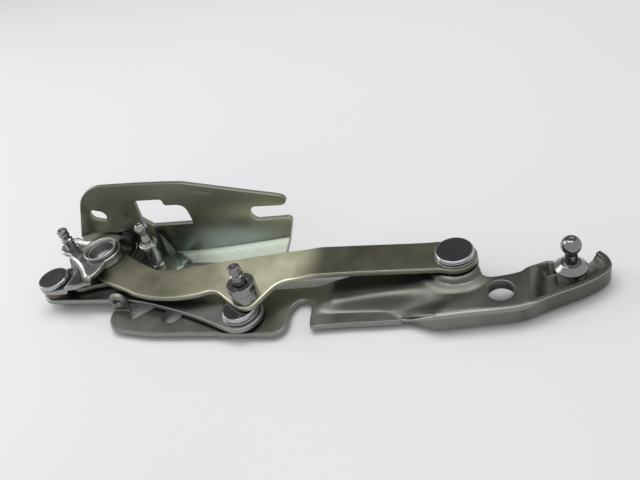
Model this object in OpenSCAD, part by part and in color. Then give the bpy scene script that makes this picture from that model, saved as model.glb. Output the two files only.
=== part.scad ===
// Four-bar lid hinge of stamped sheet steel: a body bracket and a lid bracket
// joined by a main link and a control link, with studs for a spring and a
// gas strut. Pivot axes are parallel to Z; left is -X and front is -Y.
// Origin: centre of the open rim of the hollow main pivot. The part lies as it
// rests when shut. Inside the modules, heights count from the lid bracket's
// lower face, and place() moves each finished node down so the rim is at zero.

/* [Sheet metal] */
// Thickness of every stamped sheet
sheet = 3; // [2.5:0.1:3]
// Radius of the holes in the two links that take the pivot bushes
link_eye_r = 7; // [6.5:0.1:8]

/* [Pivot positions] */
// Control pivot, X from the main pivot
control_x = -28; // [-29:0.5:-27]
// Control pivot, Y from the main pivot
control_y = -19.5; // [-20.5:0.5:-18.5]
// Lid pivot, X from the main pivot
lid_x = 222.5; // [222:0.5:224]
// Lid pivot, Y from the main pivot
lid_y = -9.5; // [-10:0.5:-9]
// Coupler pivot, X from the main pivot
coupler_x = 106; // [105:0.5:107]
// Coupler pivot, Y from the main pivot
coupler_y = -41; // [-42:0.5:-40]

/* [Rivets] */
// Radius of the flat rivet heads
head_r = 9.8; // [9:0.1:10.5]
// Radius of the solid rivet shanks
shank_r = 5; // [4:0.1:5.5]
// Running clearance on the radius between a bush and its shank
run_gap = 0.05; // [0.03:0.01:0.1]
// Clearance on the radius at the coupler pivot's hole in the lid bracket
open_gap = 1.8; // [1.5:0.1:2.5]
// Outer radius of the hollow main pivot's rim
hollow_r = 10.6; // [10:0.1:11]
// Inner radius of the hollow main pivot's cup
cup_r = 8.4; // [8:0.1:8.6]

/* [Body bracket] */
// Height of the wall's top edge above the lid bracket's lower face
wall_top = 60; // [56:1:64]
// Distance from the main pivot axis to the wall's near face
wall_y = 16; // [15.5:0.5:18]
// Width of the adjusting slot in the wall
slot_w = 7.5; // [6:0.5:9]
// Length of the adjusting slot in the wall
slot_l = 11.5; // [11:0.5:16]

/* [Lid bracket] */
// Height of the rim that stiffens the front edge and the tip
rim_h = 10; // [9:0.5:11]
// Radius of the screw hole near the tip
tip_hole_r = 6.8; // [6:0.1:7]
// Radius of the screw hole in the left arm
arm_hole_r = 6; // [5:0.1:6.5]
// Radius of the hole in the upturned lug
lug_hole_r = 2.6; // [2:0.1:3]

/* [Ball studs] */
// Diameter of the strut ball on the lid bracket
lid_ball_d = 10; // [8:0.5:10]
// Diameter of the strut ball on the body bracket
body_ball_d = 8; // [7:0.5:10]

/* [Hidden] */
$fn = 64;
NODES = ["body_bracket", "pivot_bridge", "main_pivot_rivet", "main_pivot_washer",
  "main_pivot_bush", "main_pivot_backing_ring", "bridge_spring_stud", "rubber_buffer",
  "strut_stud_pillar", "body_ball_stud", "main_link", "link_stud_sleeve",
  "link_spring_stud", "control_link", "control_pivot_rivet", "control_pivot_bush",
  "control_pivot_washer", "coupler_rivet", "coupler_washer", "coupler_bush",
  "lid_bracket", "lid_pivot_rivet", "lid_pivot_bush", "lid_pivot_washer",
  "lid_ball_stud", "lid_stud_lock_ring"];
node = "all";

// Levels of the sheets, lower faces
z_seat = 2;             // body bracket's seat for the strut stud
z_control = 4.5;        // control link
z_platform = 7;         // raised platform of the lid bracket
z_base = 9;             // raised base of the body bracket
z_ear = z_base+sheet;   // ear of the pivot bridge
z_main = 12.5;          // main link, left part
z_main_right = 14;      // main link, right part
z_pad = 19;             // upper pad of the pivot bridge

flange_h = 1;           // full-width part of the main pivot's rim
flange_top_h = 1.5;     // narrower part above it
z_rim = z_pad+sheet+flange_h+flange_top_h; // the origin's height

zinc = [0.62, 0.64, 0.58];
zinc_dark = [0.42, 0.42, 0.38];
steel = [0.78, 0.78, 0.77];
bronze = [0.50, 0.42, 0.36];
rubber = [0.07, 0.07, 0.07];

// Pivot and stud axes
main = [0, 0];
control = [control_x, control_y];
lid = [lid_x, lid_y];
coupler = [coupler_x, coupler_y];
bridge_stud = [-24, 3.5];
body_stud = [32.6, 5];
link_stud = [110, -36];
lid_stud = [279.5, -12];

main_shank_r = 8;       // hollow main pivot, outside
main_eye_r = 10;        // main link's hole for the main pivot bush
washer_gap = 0.2;       // on the radius between a washer and its shank
play = 0.1;             // between stacked parts, and a bush's overlap with its collar

// ---------- curves and outlines ----------
// Catmull-Rom curve from start to end, t in 0..1
function catmull(before, start, end, after, t) = 0.5*(2*start + (end-before)*t
  + (2*before-5*start+4*end-after)*t*t + (3*start-before-3*end+after)*t*t*t);
// Curve through the points, with some steps to each span
function smooth(points, steps) = let (last = len(points)-1) concat(
  [for (i = [0:last-1]) for (j = [0:steps-1])
    catmull(points[max(i-1, 0)], points[i], points[i+1], points[min(i+2, last)], j/steps)],
  [points[last]]);
function arc(center, radius, from, to, steps) =
  [for (i = [0:steps]) let (angle = from+(to-from)*i/steps)
    center + radius*[cos(angle), sin(angle)]];
function reversed(points) = [for (i = [len(points)-1:-1:0]) points[i]];
// Closed outline between a smoothed back edge and a smoothed front edge
function band(back, front, steps) =
  concat(smooth(back, steps), reversed(smooth(front, steps)));
function normal(v) = [-v[1], v[0]]/norm(v);
// Polyline moved sideways, to the left of its direction
function shifted(points, distance) = [for (i = [0:len(points)-1])
  points[i] + distance*normal(points[min(i+1, len(points)-1)]-points[max(i-1, 0)])];

// ---------- shared solids ----------
module place() { translate([0, 0, -z_rim]) children(); }
module at(point, z) { translate([point[0], point[1], z]) children(); }
module plate(z) { translate([0, 0, z]) linear_extrude(sheet) children(); }
module box(corner, size) { translate(corner) cube(size); }
module disc(point, z, height, radius) { at(point, z) cylinder(h = height, r = radius); }
// Cutter for a sheet lying at z, 1 past each face
module hole(point, z, radius) { disc(point, z-1, sheet+2, radius); }
module ring(point, z, height, outer_r, inner_r) {
  at(point, z) difference() {
    cylinder(h = height, r = outer_r);
    translate([0, 0, -1]) cylinder(h = height+2, r = inner_r);
  }
}
// Upright strip of bent sheet along a path
module strip(path, z, height, thick = sheet) {
  translate([0, 0, z]) linear_extrude(height)
    polygon(concat(path, reversed(shifted(path, thick))));
}
// Flat rivet head with a bevelled top edge
module rivet_head(point, z, side_h, radius, top_r) {
  disc(point, z, side_h, radius);
  at(point, z+side_h) cylinder(h = 0.8, r1 = radius, r2 = top_r);
}
// Spring stud with a collar below its groove and a bevelled tip
module grooved(point, z, height, radius) {
  collar_r = radius+0.35;
  groove_r = radius-1;
  tip_r = radius-0.1;
  at(point, z) rotate_extrude() polygon([[0, 0], [radius, 0], [radius, height*0.42],
    [collar_r, height*0.45], [collar_r, height*0.56],
    [groove_r, height*0.60], [groove_r, height*0.74],
    [tip_r, height*0.78], [tip_r, height-0.7], [radius-0.8, height], [0, height]]);
}
// Flat-topped ball on a tapering neck
module ball_on(point, z, neck_h, foot_r, diameter) {
  neck_r = 0.31*diameter;
  rise = sqrt(pow(diameter/2, 2)-pow(neck_r, 2));
  sink = 0.2; // neck's overlap with the part below
  at(point, z) union() {
    translate([0, 0, -sink]) cylinder(h = neck_h+sink, r1 = foot_r, r2 = neck_r);
    translate([0, 0, neck_h-0.1]) cylinder(h = 0.6, r = neck_r-0.05);
    translate([0, 0, neck_h+rise]) difference() {
      sphere(d = diameter);
      translate([0, 0, diameter/2-0.7]) cylinder(h = 5, r = 9);
    }
  }
}

// ---------- body bracket ----------
wall_left = -24.5;
wall_drawn_top = 60;    // top edge in the outline below
slot_center = [-2.8, 38];
slot_drop = 0.6;        // fall of each half of the slot towards the right
step_x = 12;            // left face of the step down to the seat
buffer_x = 12;
buffer_z = 20;
buffer_stem_r = 2.5;
// Outline of the wall, [x, z], clockwise seen from the front
wall_outline = concat(
  smooth([[wall_left, 22], [-16, 39], [-10.5, 49], [-6, 54], [0, 58], [7, 60]], 3),
  smooth([[7, 60], [35, 59.6], [61, 58.4], [71, 56.7], [97, 50.6], [124, 44.4]], 3),
  smooth([[126.5, 42.5], [127, 40.5], [124, 37.2]], 3),
  [[106.5, 37.4]],
  arc([106.5, 32.6], 4.8, 90, 270, 10),
  [[125.5, 28.4]],
  smooth([[127.3, 26.8], [125, 20], [121.5, 12.2]], 3),
  smooth([[121.5, 12.2], [94, 8.7], [72.6, 6.4], [52, 4.9]], 3),
  [[52, 2], [10, 2], [10, 9], [wall_left, 9]]);
// Window with a stepped upper edge and a rounded right corner, [x, z]
window_outline = concat(
  [[26.7, 33.5], [28.3, 47.4], [46.8, 47.2], [47.6, 42.6], [57, 42.4]],
  smooth([[57, 42.4], [60, 40.8], [61.2, 37.5], [62, 28.2]], 3),
  [[33, 27.8]]);
// Raised base, [x, y]
base_outline = concat([[wall_left, wall_y+1], [-22, 4]],
  smooth([[-22, 4], [-19, -6], [-16, -16], [-14, -22], [-9, -23.5], [0, -19.5], [12, -18]], 3),
  [[15, -14], [15, wall_y+1]]);

// Sloping lip below the wall's right half
module lip() {
  intersection() {
    translate([49, 0, 0]) rotate([90, 0, 90]) linear_extrude(73)
      polygon([[wall_y+sheet, 14.5], [wall_y+sheet, 7.5], [11.5, 0], [8.2, 1.8], [wall_y, 11]]);
    box([40, -20, 0], [90, 50, 30]);
  }
}
module body_bracket() {
  color(zinc) difference() {
    union() {
      translate([0, wall_y+sheet, 0]) rotate([90, 0, 0]) linear_extrude(sheet) difference() {
        polygon([for (point = wall_outline) [point[0], point[1]*wall_top/wall_drawn_top]]);
        polygon(window_outline);
        hull() for (k = [-1, 1])
          translate(slot_center + k*[(slot_l-slot_w)/2, -slot_drop]) circle(d = slot_w);
      }
      plate(z_base) polygon(base_outline);
      // step down and seat of the strut stud
      box([step_x, -3, z_seat], [sheet, wall_y+3, z_base-z_seat+1]);
      box([step_x, -3, z_seat], [40, wall_y+4, sheet]);
      lip();
    }
    hole(main, z_base, main_shank_r);
    disc(body_stud, z_seat-1, 6, pillar_foot_r);
    // hole for the buffer's stem
    translate([buffer_x, wall_y+sheet+1, buffer_z]) rotate([90, 0, 0])
      cylinder(h = sheet+2, r = buffer_stem_r);
    // clearance round the control pivot
    hole(control, z_base, 10.2);
  }
}
module rubber_buffer() {
  face_r = 4.5;
  face_h = 5;
  color(rubber) translate([buffer_x, wall_y, buffer_z]) rotate([90, 0, 0]) union() {
    cylinder(h = face_h, r = face_r);
    translate([0, 0, face_h]) cylinder(h = 1.3, r1 = face_r, r2 = 3.2);
    translate([0, 0, 0.1-sheet]) cylinder(h = sheet+0.1, r = buffer_stem_r);
  }
}

// ---------- pivot bridge ----------
spring_shank_r = 3;
pad_outline = concat([[2, wall_y], [-29, wall_y]],
  smooth([[-29, wall_y], [-32.5, 9], [-33, 3], [-30.5, -2.5], [-25, -5.2], [-18, -5.2],
    [-12.5, -8], [-8, -12.5], [-4.5, -17.5], [-1, -22.8]], 4),
  smooth([[-1, -22.8], [2, -24], [4.6, -22.5], [7, -15.5]], 3),
  arc(main, 12.3, -50, 78, 14));
ear_outline = concat(arc(control, 9.6, 105, 262, 20),
  smooth([[-20, -27], [-14, -25], [-11.6, -20], [-11.6, -13], [-13.5, -8]], 3),
  [[-16.5, -3.5], [-21.5, -3.2]]);
tongue_path = [[-4, -16.4], [-0.5, -20.9], [3.4, -21.2], [5.6, -15.5]];
jog_path = [[-21.5, -3.2], [-16.5, -4.5], [-13.5, -8.5], [-12.2, -15]];

module pivot_bridge() {
  color(zinc) difference() {
    union() {
      plate(z_pad) polygon(pad_outline);
      // turned-down lip at the pad's front tongue
      strip(tongue_path, z_ear+4, z_pad-z_ear-3, 2.2);
      // wall between the pad and the ear
      strip(jog_path, z_ear, z_pad-z_ear+1, -sheet);
      plate(z_ear) polygon(ear_outline);
    }
    hole(main, z_pad, main_shank_r+0.6);
    hole(control, z_ear, shank_r);
    hole(bridge_stud, z_pad, spring_shank_r);
  }
}
module bridge_spring_stud() {
  foot_h = 1.2;
  color(steel) union() {
    grooved(bridge_stud, z_pad+sheet, 16, 3.25);
    disc(bridge_stud, z_pad-foot_h, sheet+1.4, spring_shank_r);
    disc(bridge_stud, z_pad-foot_h, foot_h, 4.4);
  }
}

// ---------- main pivot ----------
module main_pivot_rivet() {
  z_foot = z_base-2;
  z_flange = z_pad+sheet;
  color(steel) difference() {
    union() {
      disc(main, z_foot, 1.2, 9.4);
      disc(main, z_foot, z_flange-z_foot+1, main_shank_r);
      disc(main, z_flange, flange_h, hollow_r);
      disc(main, z_flange+flange_h, flange_top_h, hollow_r-0.5);
    }
    // bore, and the wider cup above it
    disc(main, z_rim-9, 10, cup_r-1.4);
    disc(main, z_flange+flange_h, 3, cup_r);
  }
}
module main_pivot_washer() {
  z_washer = z_main+sheet+play;
  color(steel) ring(main, z_washer, z_pad-z_washer, 12.2, main_shank_r+washer_gap);
}
module main_pivot_bush() {
  z_collar = z_base+sheet+play;
  color(bronze) union() {
    ring(main, z_collar, z_main-z_collar, 12, main_shank_r+run_gap);
    ring(main, z_main-play, sheet+play, main_eye_r, main_shank_r+run_gap);
  }
}
module main_pivot_backing_ring() {
  height = 0.8;
  color(steel) ring(main, z_base-height, height, 10, main_shank_r);
}

// ---------- strut stud on the body bracket ----------
z_pillar_foot = 0.5;
z_pillar_top = 20.4;
pillar_foot_r = 4;
pillar_bore_r = 2.4;

module strut_stud_pillar() {
  z_body = z_seat+sheet;
  color(steel) difference() {
    union() {
      disc(body_stud, z_body, z_pillar_top-z_body, 4.2);
      disc(body_stud, z_pillar_foot, 5, pillar_foot_r);
      disc(body_stud, z_pillar_foot, z_seat-z_pillar_foot, 5.2);
    }
    disc(body_stud, 11, 12, pillar_bore_r);
  }
}
module body_ball_stud() {
  lower_h = 1.2;
  upper_h = 1.8;
  color(steel) union() {
    disc(body_stud, z_pillar_top, lower_h, 5.4);
    disc(body_stud, z_pillar_top+lower_h, upper_h, 6);
    disc(body_stud, 12, 9, pillar_bore_r);
    ball_on(body_stud, z_pillar_top+lower_h+upper_h, 8.4, 3.9, body_ball_d);
  }
}

// ---------- main link ----------
lid_eye_outer_r = 11.6;
link_rivet_r = 4;       // spring stud in the link's sheet
link_shank_r = 3.5;     // spring stud above it
sleeve_h = 10.5;
// Edges of the left part, [x, y] from left to right
main_back = [[3, 13], [10, 7.5], [17.5, 1.5], [26, -3.5], [37, -9.2], [45, -12.4],
  [51, -12.6], [58, -11.6], [71.5, -9.2], [84, -7], [102.5, -3.6], [126.5, 0.6], [134, 1.4]];
main_front = [[-1, -13.5], [5, -18.2], [10, -21.2], [17, -24.2], [28, -28.6], [36, -32.2],
  [49, -35.5], [64, -36.3], [77, -34.4], [85.5, -31.6], [91, -32.4], [98, -37.4],
  [106, -43], [111.5, -45], [116, -43], [120, -36.5], [125, -27.6], [129, -24.4],
  [134, -23.7]];
main_right_outline = [[147, -21.6], [172, -20.6], [215, -19.8],
  [lid_x, lid_y-lid_eye_outer_r], [lid_x, lid_y+lid_eye_outer_r],
  [212.5, 2.6], [203, 1.8], [147, 1.8]];

module main_link() {
  color(zinc) difference() {
    union() {
      plate(z_main) polygon(band(main_back, main_front, 3));
      disc(main, z_main, sheet, 13.4);
      // shallow jog up to the right part
      hull() {
        box([133.5, -23.7, z_main], [0.5, 25.1, sheet]);
        box([147.5, -21.6, z_main_right], [0.5, 23.4, sheet]);
      }
      plate(z_main_right) polygon(main_right_outline);
      disc(lid, z_main_right, sheet, lid_eye_outer_r);
    }
    hole(main, z_main, main_eye_r);
    hole(lid, z_main_right, link_eye_r);
    hole(link_stud, z_main, link_rivet_r);
  }
}
module link_stud_sleeve() {
  color(steel) ring(link_stud, z_main+sheet, sleeve_h, 8, link_shank_r);
}
module link_spring_stud() {
  color(steel) union() {
    grooved(link_stud, z_main+sheet+sleeve_h, 12, link_shank_r);
    disc(link_stud, z_main+sheet, sleeve_h+0.5, link_shank_r);
    disc(link_stud, z_main, sheet, link_rivet_r);
  }
}

// ---------- control link and its pivot ----------
control_end_r = 10.5;
coupler_end_r = 12.6;
// Edges, [x, y] from left to right
control_front = [[control_x, control_y-control_end_r], [-15, -29.4], [14, -29.8],
  [29, -30.2], [49, -34.2], [68, -40], [80, -44.2], [90, -48.2], [100, -52.5],
  [coupler_x, coupler_y-coupler_end_r]];
control_back = [[control_x, control_y+control_end_r], [-10, -10.4], [20, -10.2],
  [45, -12.4], [70, -18.6], [92, -26.4], [coupler_x, coupler_y+coupler_end_r]];

module control_link() {
  color(zinc_dark) difference() {
    union() {
      plate(z_control) polygon(band(control_back, control_front, 4));
      disc(control, z_control, sheet, control_end_r);
      disc(coupler, z_control, sheet, coupler_end_r);
    }
    hole(control, z_control, link_eye_r);
    hole(coupler, z_control, shank_r);
  }
}
module control_pivot_rivet() {
  z_head = z_ear+sheet;
  color(zinc_dark) union() {
    rivet_head(control, z_head, 2.2, head_r, head_r-0.8);
    disc(control, z_control-1.6, z_head-z_control+1.8, shank_r);
    disc(control, z_control-3.4, 1.9, 7.4);
  }
}
module control_pivot_bush() {
  z_collar = z_control+sheet;
  color(bronze) union() {
    ring(control, z_collar, z_ear-z_collar-0.3, 9, shank_r+run_gap);
    ring(control, z_control, sheet+play, link_eye_r, shank_r+run_gap);
  }
}
module control_pivot_washer() {
  color(steel) ring(control, z_control-1.5, 1.3, 9, shank_r+washer_gap);
}

// ---------- coupler pivot ----------
z_coupler_head = 9;

module coupler_rivet() {
  color(zinc_dark) union() {
    rivet_head(coupler, z_coupler_head, 2.2, head_r, head_r-0.8);
    disc(coupler, -1, z_coupler_head+1.2, shank_r);
    disc(coupler, -2.4, 2, 8.6);
  }
}
module coupler_washer() {
  z_washer = z_control+sheet;
  color(steel) ring(coupler, z_washer, z_coupler_head-z_washer, 10.4, shank_r+washer_gap);
}
module coupler_bush() {
  z_bush = sheet+0.3;
  color(bronze) ring(coupler, z_bush, z_control-z_bush, 9.6, shank_r+washer_gap);
}

// ---------- lid pivot ----------
module lid_pivot_rivet() {
  z_head = z_main_right+sheet+1;
  z_shank = 9;
  color(zinc_dark) union() {
    rivet_head(lid, z_head, 2.4, head_r+0.4, head_r-0.5);
    disc(lid, z_shank, z_head+0.2-z_shank, shank_r);
    disc(lid, 7.4, 2.6, 7);
  }
}
module lid_pivot_bush() {
  collar_h = 0.8;
  color(bronze) union() {
    ring(lid, z_main_right-collar_h, collar_h, 10.4, shank_r+run_gap);
    ring(lid, z_main_right-play, sheet+play, link_eye_r, shank_r+run_gap);
  }
}
module lid_pivot_washer() {
  color(steel) ring(lid, z_main_right+sheet+0.15, 0.85, 10.8, shank_r+washer_gap);
}

// ---------- lid bracket ----------
lid_boss_r = 11.8;
tip_hole = [245.5, -28.8];
arm_hole = [59.5, -38];
lug_w = 11.5;
lug_corner = [17, -34, 0];
lug_eye = lug_corner + [lug_w/2, 0, 9.2];
lid_stud_r = 4;
z_lid_stud_foot = -1.4;
// Paths of the upright rims, [x, y] from left to right
rim_path = [[208, -47.4], [217, -46.5], [228, -45], [245, -42.8], [256, -40.6],
  [266, -35.3], [274, -31], [283, -26.8], [291, -21.6], [296, -17], [298.6, -12],
  [297.4, -6], [294.2, -1.4]];
back_path = [[258, -13.2], [262, -10], [266.5, -7.6], [271.5, -8.4]];
// Low plate with the left arm, coupler pivot and front strip, [x, y]
low_outline = concat([[28.5, -34], [29.8, -37.2], [33.6, -41.5], [45.5, -31]],
  smooth([[45.5, -31], [60, -24], [90, -20], [150, -16]], 2),
  [[150, -27], [166, -37], [192, -36.4], [209, -35], [210, -44]],
  smooth([[206, -43.2], [185, -44], [163, -45.6], [152, -46.2], [147.5, -47.6]], 2),
  smooth([[146, -46], [145.2, -40], [144.6, -32], [142.4, -28.4], [138.6, -26.8],
    [135, -28.4], [133, -33], [132.7, -42], [132.4, -47], [130.9, -49.8]], 2),
  smooth([[130.9, -49.8], [128, -51.5], [124.6, -52.2], [95, -52.5], [52, -52.6],
    [43, -51.8], [34, -50.7], [26.7, -49.7], [23.3, -48.2], [20.6, -45.2],
    [18.6, -42], [17.5, -38.5], [17, -34]], 2));
platform_outline = concat([[206.8, -34.5], [206.8, 1], [212, 2]],
  arc(lid, lid_boss_r, 100, -20, 12),
  [[235, -16], [238, -18.6], [246, -17.8], [254.5, -15.4], [258.5, -13],
    [258.5, -38], [245, -40.2], [228, -42.4], [212, -44]]);
tip_outline = [[266.8, -8.4], [271.5, -7.6], [276, -5.2], [283, -4.2], [291, -3.4],
  [296, -8], [296.5, -13], [291, -19.5], [283, -24.6], [274, -29], [266.8, -33]];

module lid_bracket() {
  slab = 0.6; // length of the end slabs that the slopes are hulled from
  color(zinc) difference() {
    union() {
      plate(0) polygon(low_outline);
      // upturned lug at the end of the arm
      box(lug_corner, [lug_w, sheet, 11]);
      translate(lug_eye) rotate([-90, 0, 0]) cylinder(h = sheet, r = lug_w/2);
      // ramp up to the platform, and the slope on its front side
      hull() {
        box([149, -27.6, 0], [slab, 12, sheet]);
        box([206.5, -25, z_platform], [slab, 26, sheet]);
      }
      hull() {
        box([160, -37, 0], [slab, 11, 1.2]);
        box([206.5, -35.4, 0], [slab, 10.4, sheet-0.4]);
        box([206.5, -25.6, z_platform], [slab, 1, sheet]);
      }
      plate(z_platform) polygon(platform_outline);
      disc(lid, z_platform, sheet+3, lid_boss_r);
      // jog down to the floor of the tip
      hull() {
        box([257.8, -38, z_platform], [slab, 25.4, sheet]);
        box([267, -33, 0], [slab, 25, sheet]);
      }
      plate(0) polygon(tip_outline);
      // rim along the front edge and round the tip, and the short back rim
      strip(smooth(rim_path, 3), 0, rim_h);
      strip(smooth(back_path, 3), 0.4, rim_h-0.4, -sheet);
      // drawn collar under the screw hole
      disc(tip_hole, z_platform-3, 3.5, tip_hole_r+2.2);
    }
    hole(coupler, 0, shank_r+open_gap);
    // recess under the lid pivot's boss, and its shank hole
    disc(lid, z_platform-1, 4, 8.2);
    disc(lid, z_platform+2, 6, shank_r);
    disc(tip_hole, 0, 14, tip_hole_r);
    hole(arm_hole, 0, arm_hole_r);
    translate(lug_eye-[0, 1, 0]) rotate([-90, 0, 0]) cylinder(h = sheet+2, r = lug_hole_r);
    hole(lid_stud, 0, lid_stud_r);
  }
}
module lid_ball_stud() {
  color(steel) union() {
    disc(lid_stud, z_lid_stud_foot, sheet+1.8, lid_stud_r);
    disc(lid_stud, sheet, 5.4, 7);
    disc(lid_stud, sheet+5.2, 1.6, 8.2);
    at(lid_stud, sheet+6.8) cylinder(h = 2.8, r1 = 7.9, r2 = 5);
    ball_on(lid_stud, sheet+9.4, 7.2, 3.4, lid_ball_d);
  }
}
module lid_stud_lock_ring() {
  color(steel) ring(lid_stud, z_lid_stud_foot, 1.3, 6.6, lid_stud_r);
}

function shown(name) = node == "all" || node == name;
if (shown("body_bracket")) place() body_bracket();
if (shown("pivot_bridge")) place() pivot_bridge();
if (shown("main_pivot_rivet")) place() main_pivot_rivet();
if (shown("main_pivot_washer")) place() main_pivot_washer();
if (shown("main_pivot_bush")) place() main_pivot_bush();
if (shown("main_pivot_backing_ring")) place() main_pivot_backing_ring();
if (shown("bridge_spring_stud")) place() bridge_spring_stud();
if (shown("rubber_buffer")) place() rubber_buffer();
if (shown("strut_stud_pillar")) place() strut_stud_pillar();
if (shown("body_ball_stud")) place() body_ball_stud();
if (shown("main_link")) place() main_link();
if (shown("link_stud_sleeve")) place() link_stud_sleeve();
if (shown("link_spring_stud")) place() link_spring_stud();
if (shown("control_link")) place() control_link();
if (shown("control_pivot_rivet")) place() control_pivot_rivet();
if (shown("control_pivot_bush")) place() control_pivot_bush();
if (shown("control_pivot_washer")) place() control_pivot_washer();
if (shown("coupler_rivet")) place() coupler_rivet();
if (shown("coupler_washer")) place() coupler_washer();
if (shown("coupler_bush")) place() coupler_bush();
if (shown("lid_bracket")) place() lid_bracket();
if (shown("lid_pivot_rivet")) place() lid_pivot_rivet();
if (shown("lid_pivot_bush")) place() lid_pivot_bush();
if (shown("lid_pivot_washer")) place() lid_pivot_washer();
if (shown("lid_ball_stud")) place() lid_ball_stud();
if (shown("lid_stud_lock_ring")) place() lid_stud_lock_ring();
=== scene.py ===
import bpy
import bmesh
import math
import numpy as np
from mathutils import Matrix, Vector
from mathutils.geometry import delaunay_2d_cdt


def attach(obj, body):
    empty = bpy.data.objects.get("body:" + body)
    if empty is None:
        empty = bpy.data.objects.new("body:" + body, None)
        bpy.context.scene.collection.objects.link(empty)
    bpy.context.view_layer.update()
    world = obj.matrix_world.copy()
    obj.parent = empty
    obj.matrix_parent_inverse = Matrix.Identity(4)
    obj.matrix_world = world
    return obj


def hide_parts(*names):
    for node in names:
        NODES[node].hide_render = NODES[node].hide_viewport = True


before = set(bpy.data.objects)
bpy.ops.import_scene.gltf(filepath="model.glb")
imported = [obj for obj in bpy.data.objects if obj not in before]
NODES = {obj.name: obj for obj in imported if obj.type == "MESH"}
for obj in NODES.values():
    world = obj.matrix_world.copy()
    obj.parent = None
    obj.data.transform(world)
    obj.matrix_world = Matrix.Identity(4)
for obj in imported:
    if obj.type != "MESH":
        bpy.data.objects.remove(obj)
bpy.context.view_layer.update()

# All shapes below are written in millimetres, with heights counted from the lower face
# of the lid bracket. RIM is how far that face lies under the frame's origin.
RIM = 24.5

P0 = (0.0, 0.0)
CTL = (-28.0, -19.5)
LID = (222.5, -9.5)
CPL = (106.0, -41.0)
S1 = (-24.0, 3.5)
S2 = (32.6, 5.0)
S3 = (110.0, -36.0)
S4 = (279.5, -12.0)
TIP_HOLE = (245.5, -28.8)
ARM_HOLE = (59.5, -38.0)


# ------------------------------------------------------------------ small helpers
def sm(t):
    t = np.clip(t, 0.0, 1.0)
    return t * t * (3 - 2 * t)


def cr(pts, n=6):
    """Smooth curve through a short list of stations."""
    p = np.array(pts, float)
    out = []
    for i in range(len(p) - 1):
        a, b, c, d = p[max(i - 1, 0)], p[i], p[i + 1], p[min(i + 2, len(p) - 1)]
        for j in range(n):
            t = j / n
            q = 0.5 * (2 * b + (c - a) * t + (2 * a - 5 * b + 4 * c - d) * t * t + (3 * b - a - 3 * c + d) * t ** 3)
            out.append(tuple(q))
    out.append(tuple(p[-1]))
    return out


def arc(c, r, a0, a1, n=24):
    return [
        (c[0] + r * math.cos(math.radians(a0 + (a1 - a0) * i / n)), c[1] + r * math.sin(math.radians(a0 + (a1 - a0) * i / n)))
        for i in range(n + 1)
    ]


def circle(c, r, n=64):
    return [(c[0] + r * math.cos(2 * math.pi * i / n), c[1] + r * math.sin(2 * math.pi * i / n)) for i in range(n)]


def area(P):
    x, y = P[:, 0], P[:, 1]
    return 0.5 * float(np.sum(x * np.roll(y, -1) - np.roll(x, -1) * y))


def tidy(P, tol=0.02):
    out = [np.array(P[0][:2], float)]
    for q in P[1:]:
        q = np.array(q[:2], float)
        if np.linalg.norm(q - out[-1]) > tol:
            out.append(q)
    if np.linalg.norm(out[0] - out[-1]) < tol:
        out.pop()
    return out


def rounded(pts, r=1.0, turn=20.0):
    """Rounds each real corner of a closed outline; gentle bends stay as they are."""
    P = tidy(pts)
    n = len(P)
    out = []
    for i in range(n):
        a, b, c = P[i - 1], P[i], P[(i + 1) % n]
        u, v = a - b, c - b
        lu, lv = np.linalg.norm(u), np.linalg.norm(v)
        u, v = u / lu, v / lv
        ang = math.acos(max(-1.0, min(1.0, float(-(u @ v)))))
        if ang < math.radians(turn):
            out.append(b)
            continue
        half = (math.pi - ang) / 2
        t = min(r / math.tan(half), 0.45 * lu, 0.45 * lv)
        rr = t * math.tan(half)
        bis = (u + v) / np.linalg.norm(u + v)
        cen = b + bis * (rr / math.sin(half))
        p0, p1 = b + u * t, b + v * t
        a0 = math.atan2(*(p0 - cen)[::-1])
        a1 = math.atan2(*(p1 - cen)[::-1])
        d = (a1 - a0 + math.pi) % (2 * math.pi) - math.pi
        k = max(2, int(math.ceil(abs(d) / math.radians(14))))
        for j in range(k + 1):
            w = a0 + d * j / k
            out.append(cen + rr * np.array([math.cos(w), math.sin(w)]))
    return out


def dense(P, step=1.0):
    P = tidy(P, 0.08)
    out = []
    for i in range(len(P)):
        a, b = P[i], P[(i + 1) % len(P)]
        k = max(1, int(math.ceil(np.linalg.norm(b - a) / step)))
        for j in range(k):
            out.append(a + (b - a) * j / k)
    return np.array(out)


def inward(P):
    """Unit normals to the left of a closed polyline, stretched a little at corners."""
    d0 = P - np.roll(P, 1, 0)
    d1 = np.roll(P, -1, 0) - P
    d0 /= np.linalg.norm(d0, axis=1)[:, None]
    d1 /= np.linalg.norm(d1, axis=1)[:, None]
    t = d0 + d1
    t /= np.maximum(np.linalg.norm(t, axis=1), 1e-9)[:, None]
    n = np.stack([-t[:, 1], t[:, 0]], 1)
    l0 = np.stack([-d0[:, 1], d0[:, 0]], 1)
    c = np.maximum(np.sum(n * l0, 1), 0.6)
    return n / c[:, None]


def inside(Q, loops):
    """Even-odd test of points Q against closed loops."""
    odd = np.zeros(len(Q), bool)
    for L in loops:
        x1, y1 = L[:, 0], L[:, 1]
        x2, y2 = np.roll(x1, -1), np.roll(y1, -1)
        for s in range(0, len(Q), 2000):
            q = Q[s:s + 2000]
            cond = (y1[None] > q[:, 1:2]) != (y2[None] > q[:, 1:2])
            with np.errstate(divide="ignore", invalid="ignore"):
                xx = (x2 - x1)[None] * (q[:, 1:2] - y1[None]) / (y2 - y1)[None] + x1[None]
            odd[s:s + 2000] ^= (np.sum(cond & (q[:, 0:1] < xx), 1) % 2).astype(bool)
    return odd


def near(Q, B, d):
    """Which points of Q lie nearer than d to any point of B."""
    hit = np.zeros(len(Q), bool)
    for s in range(0, len(Q), 1000):
        q = Q[s:s + 1000]
        hit[s:s + 1000] = (((q[:, None] - B[None]) ** 2).sum(2).min(1)) < d * d
    return hit


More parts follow.
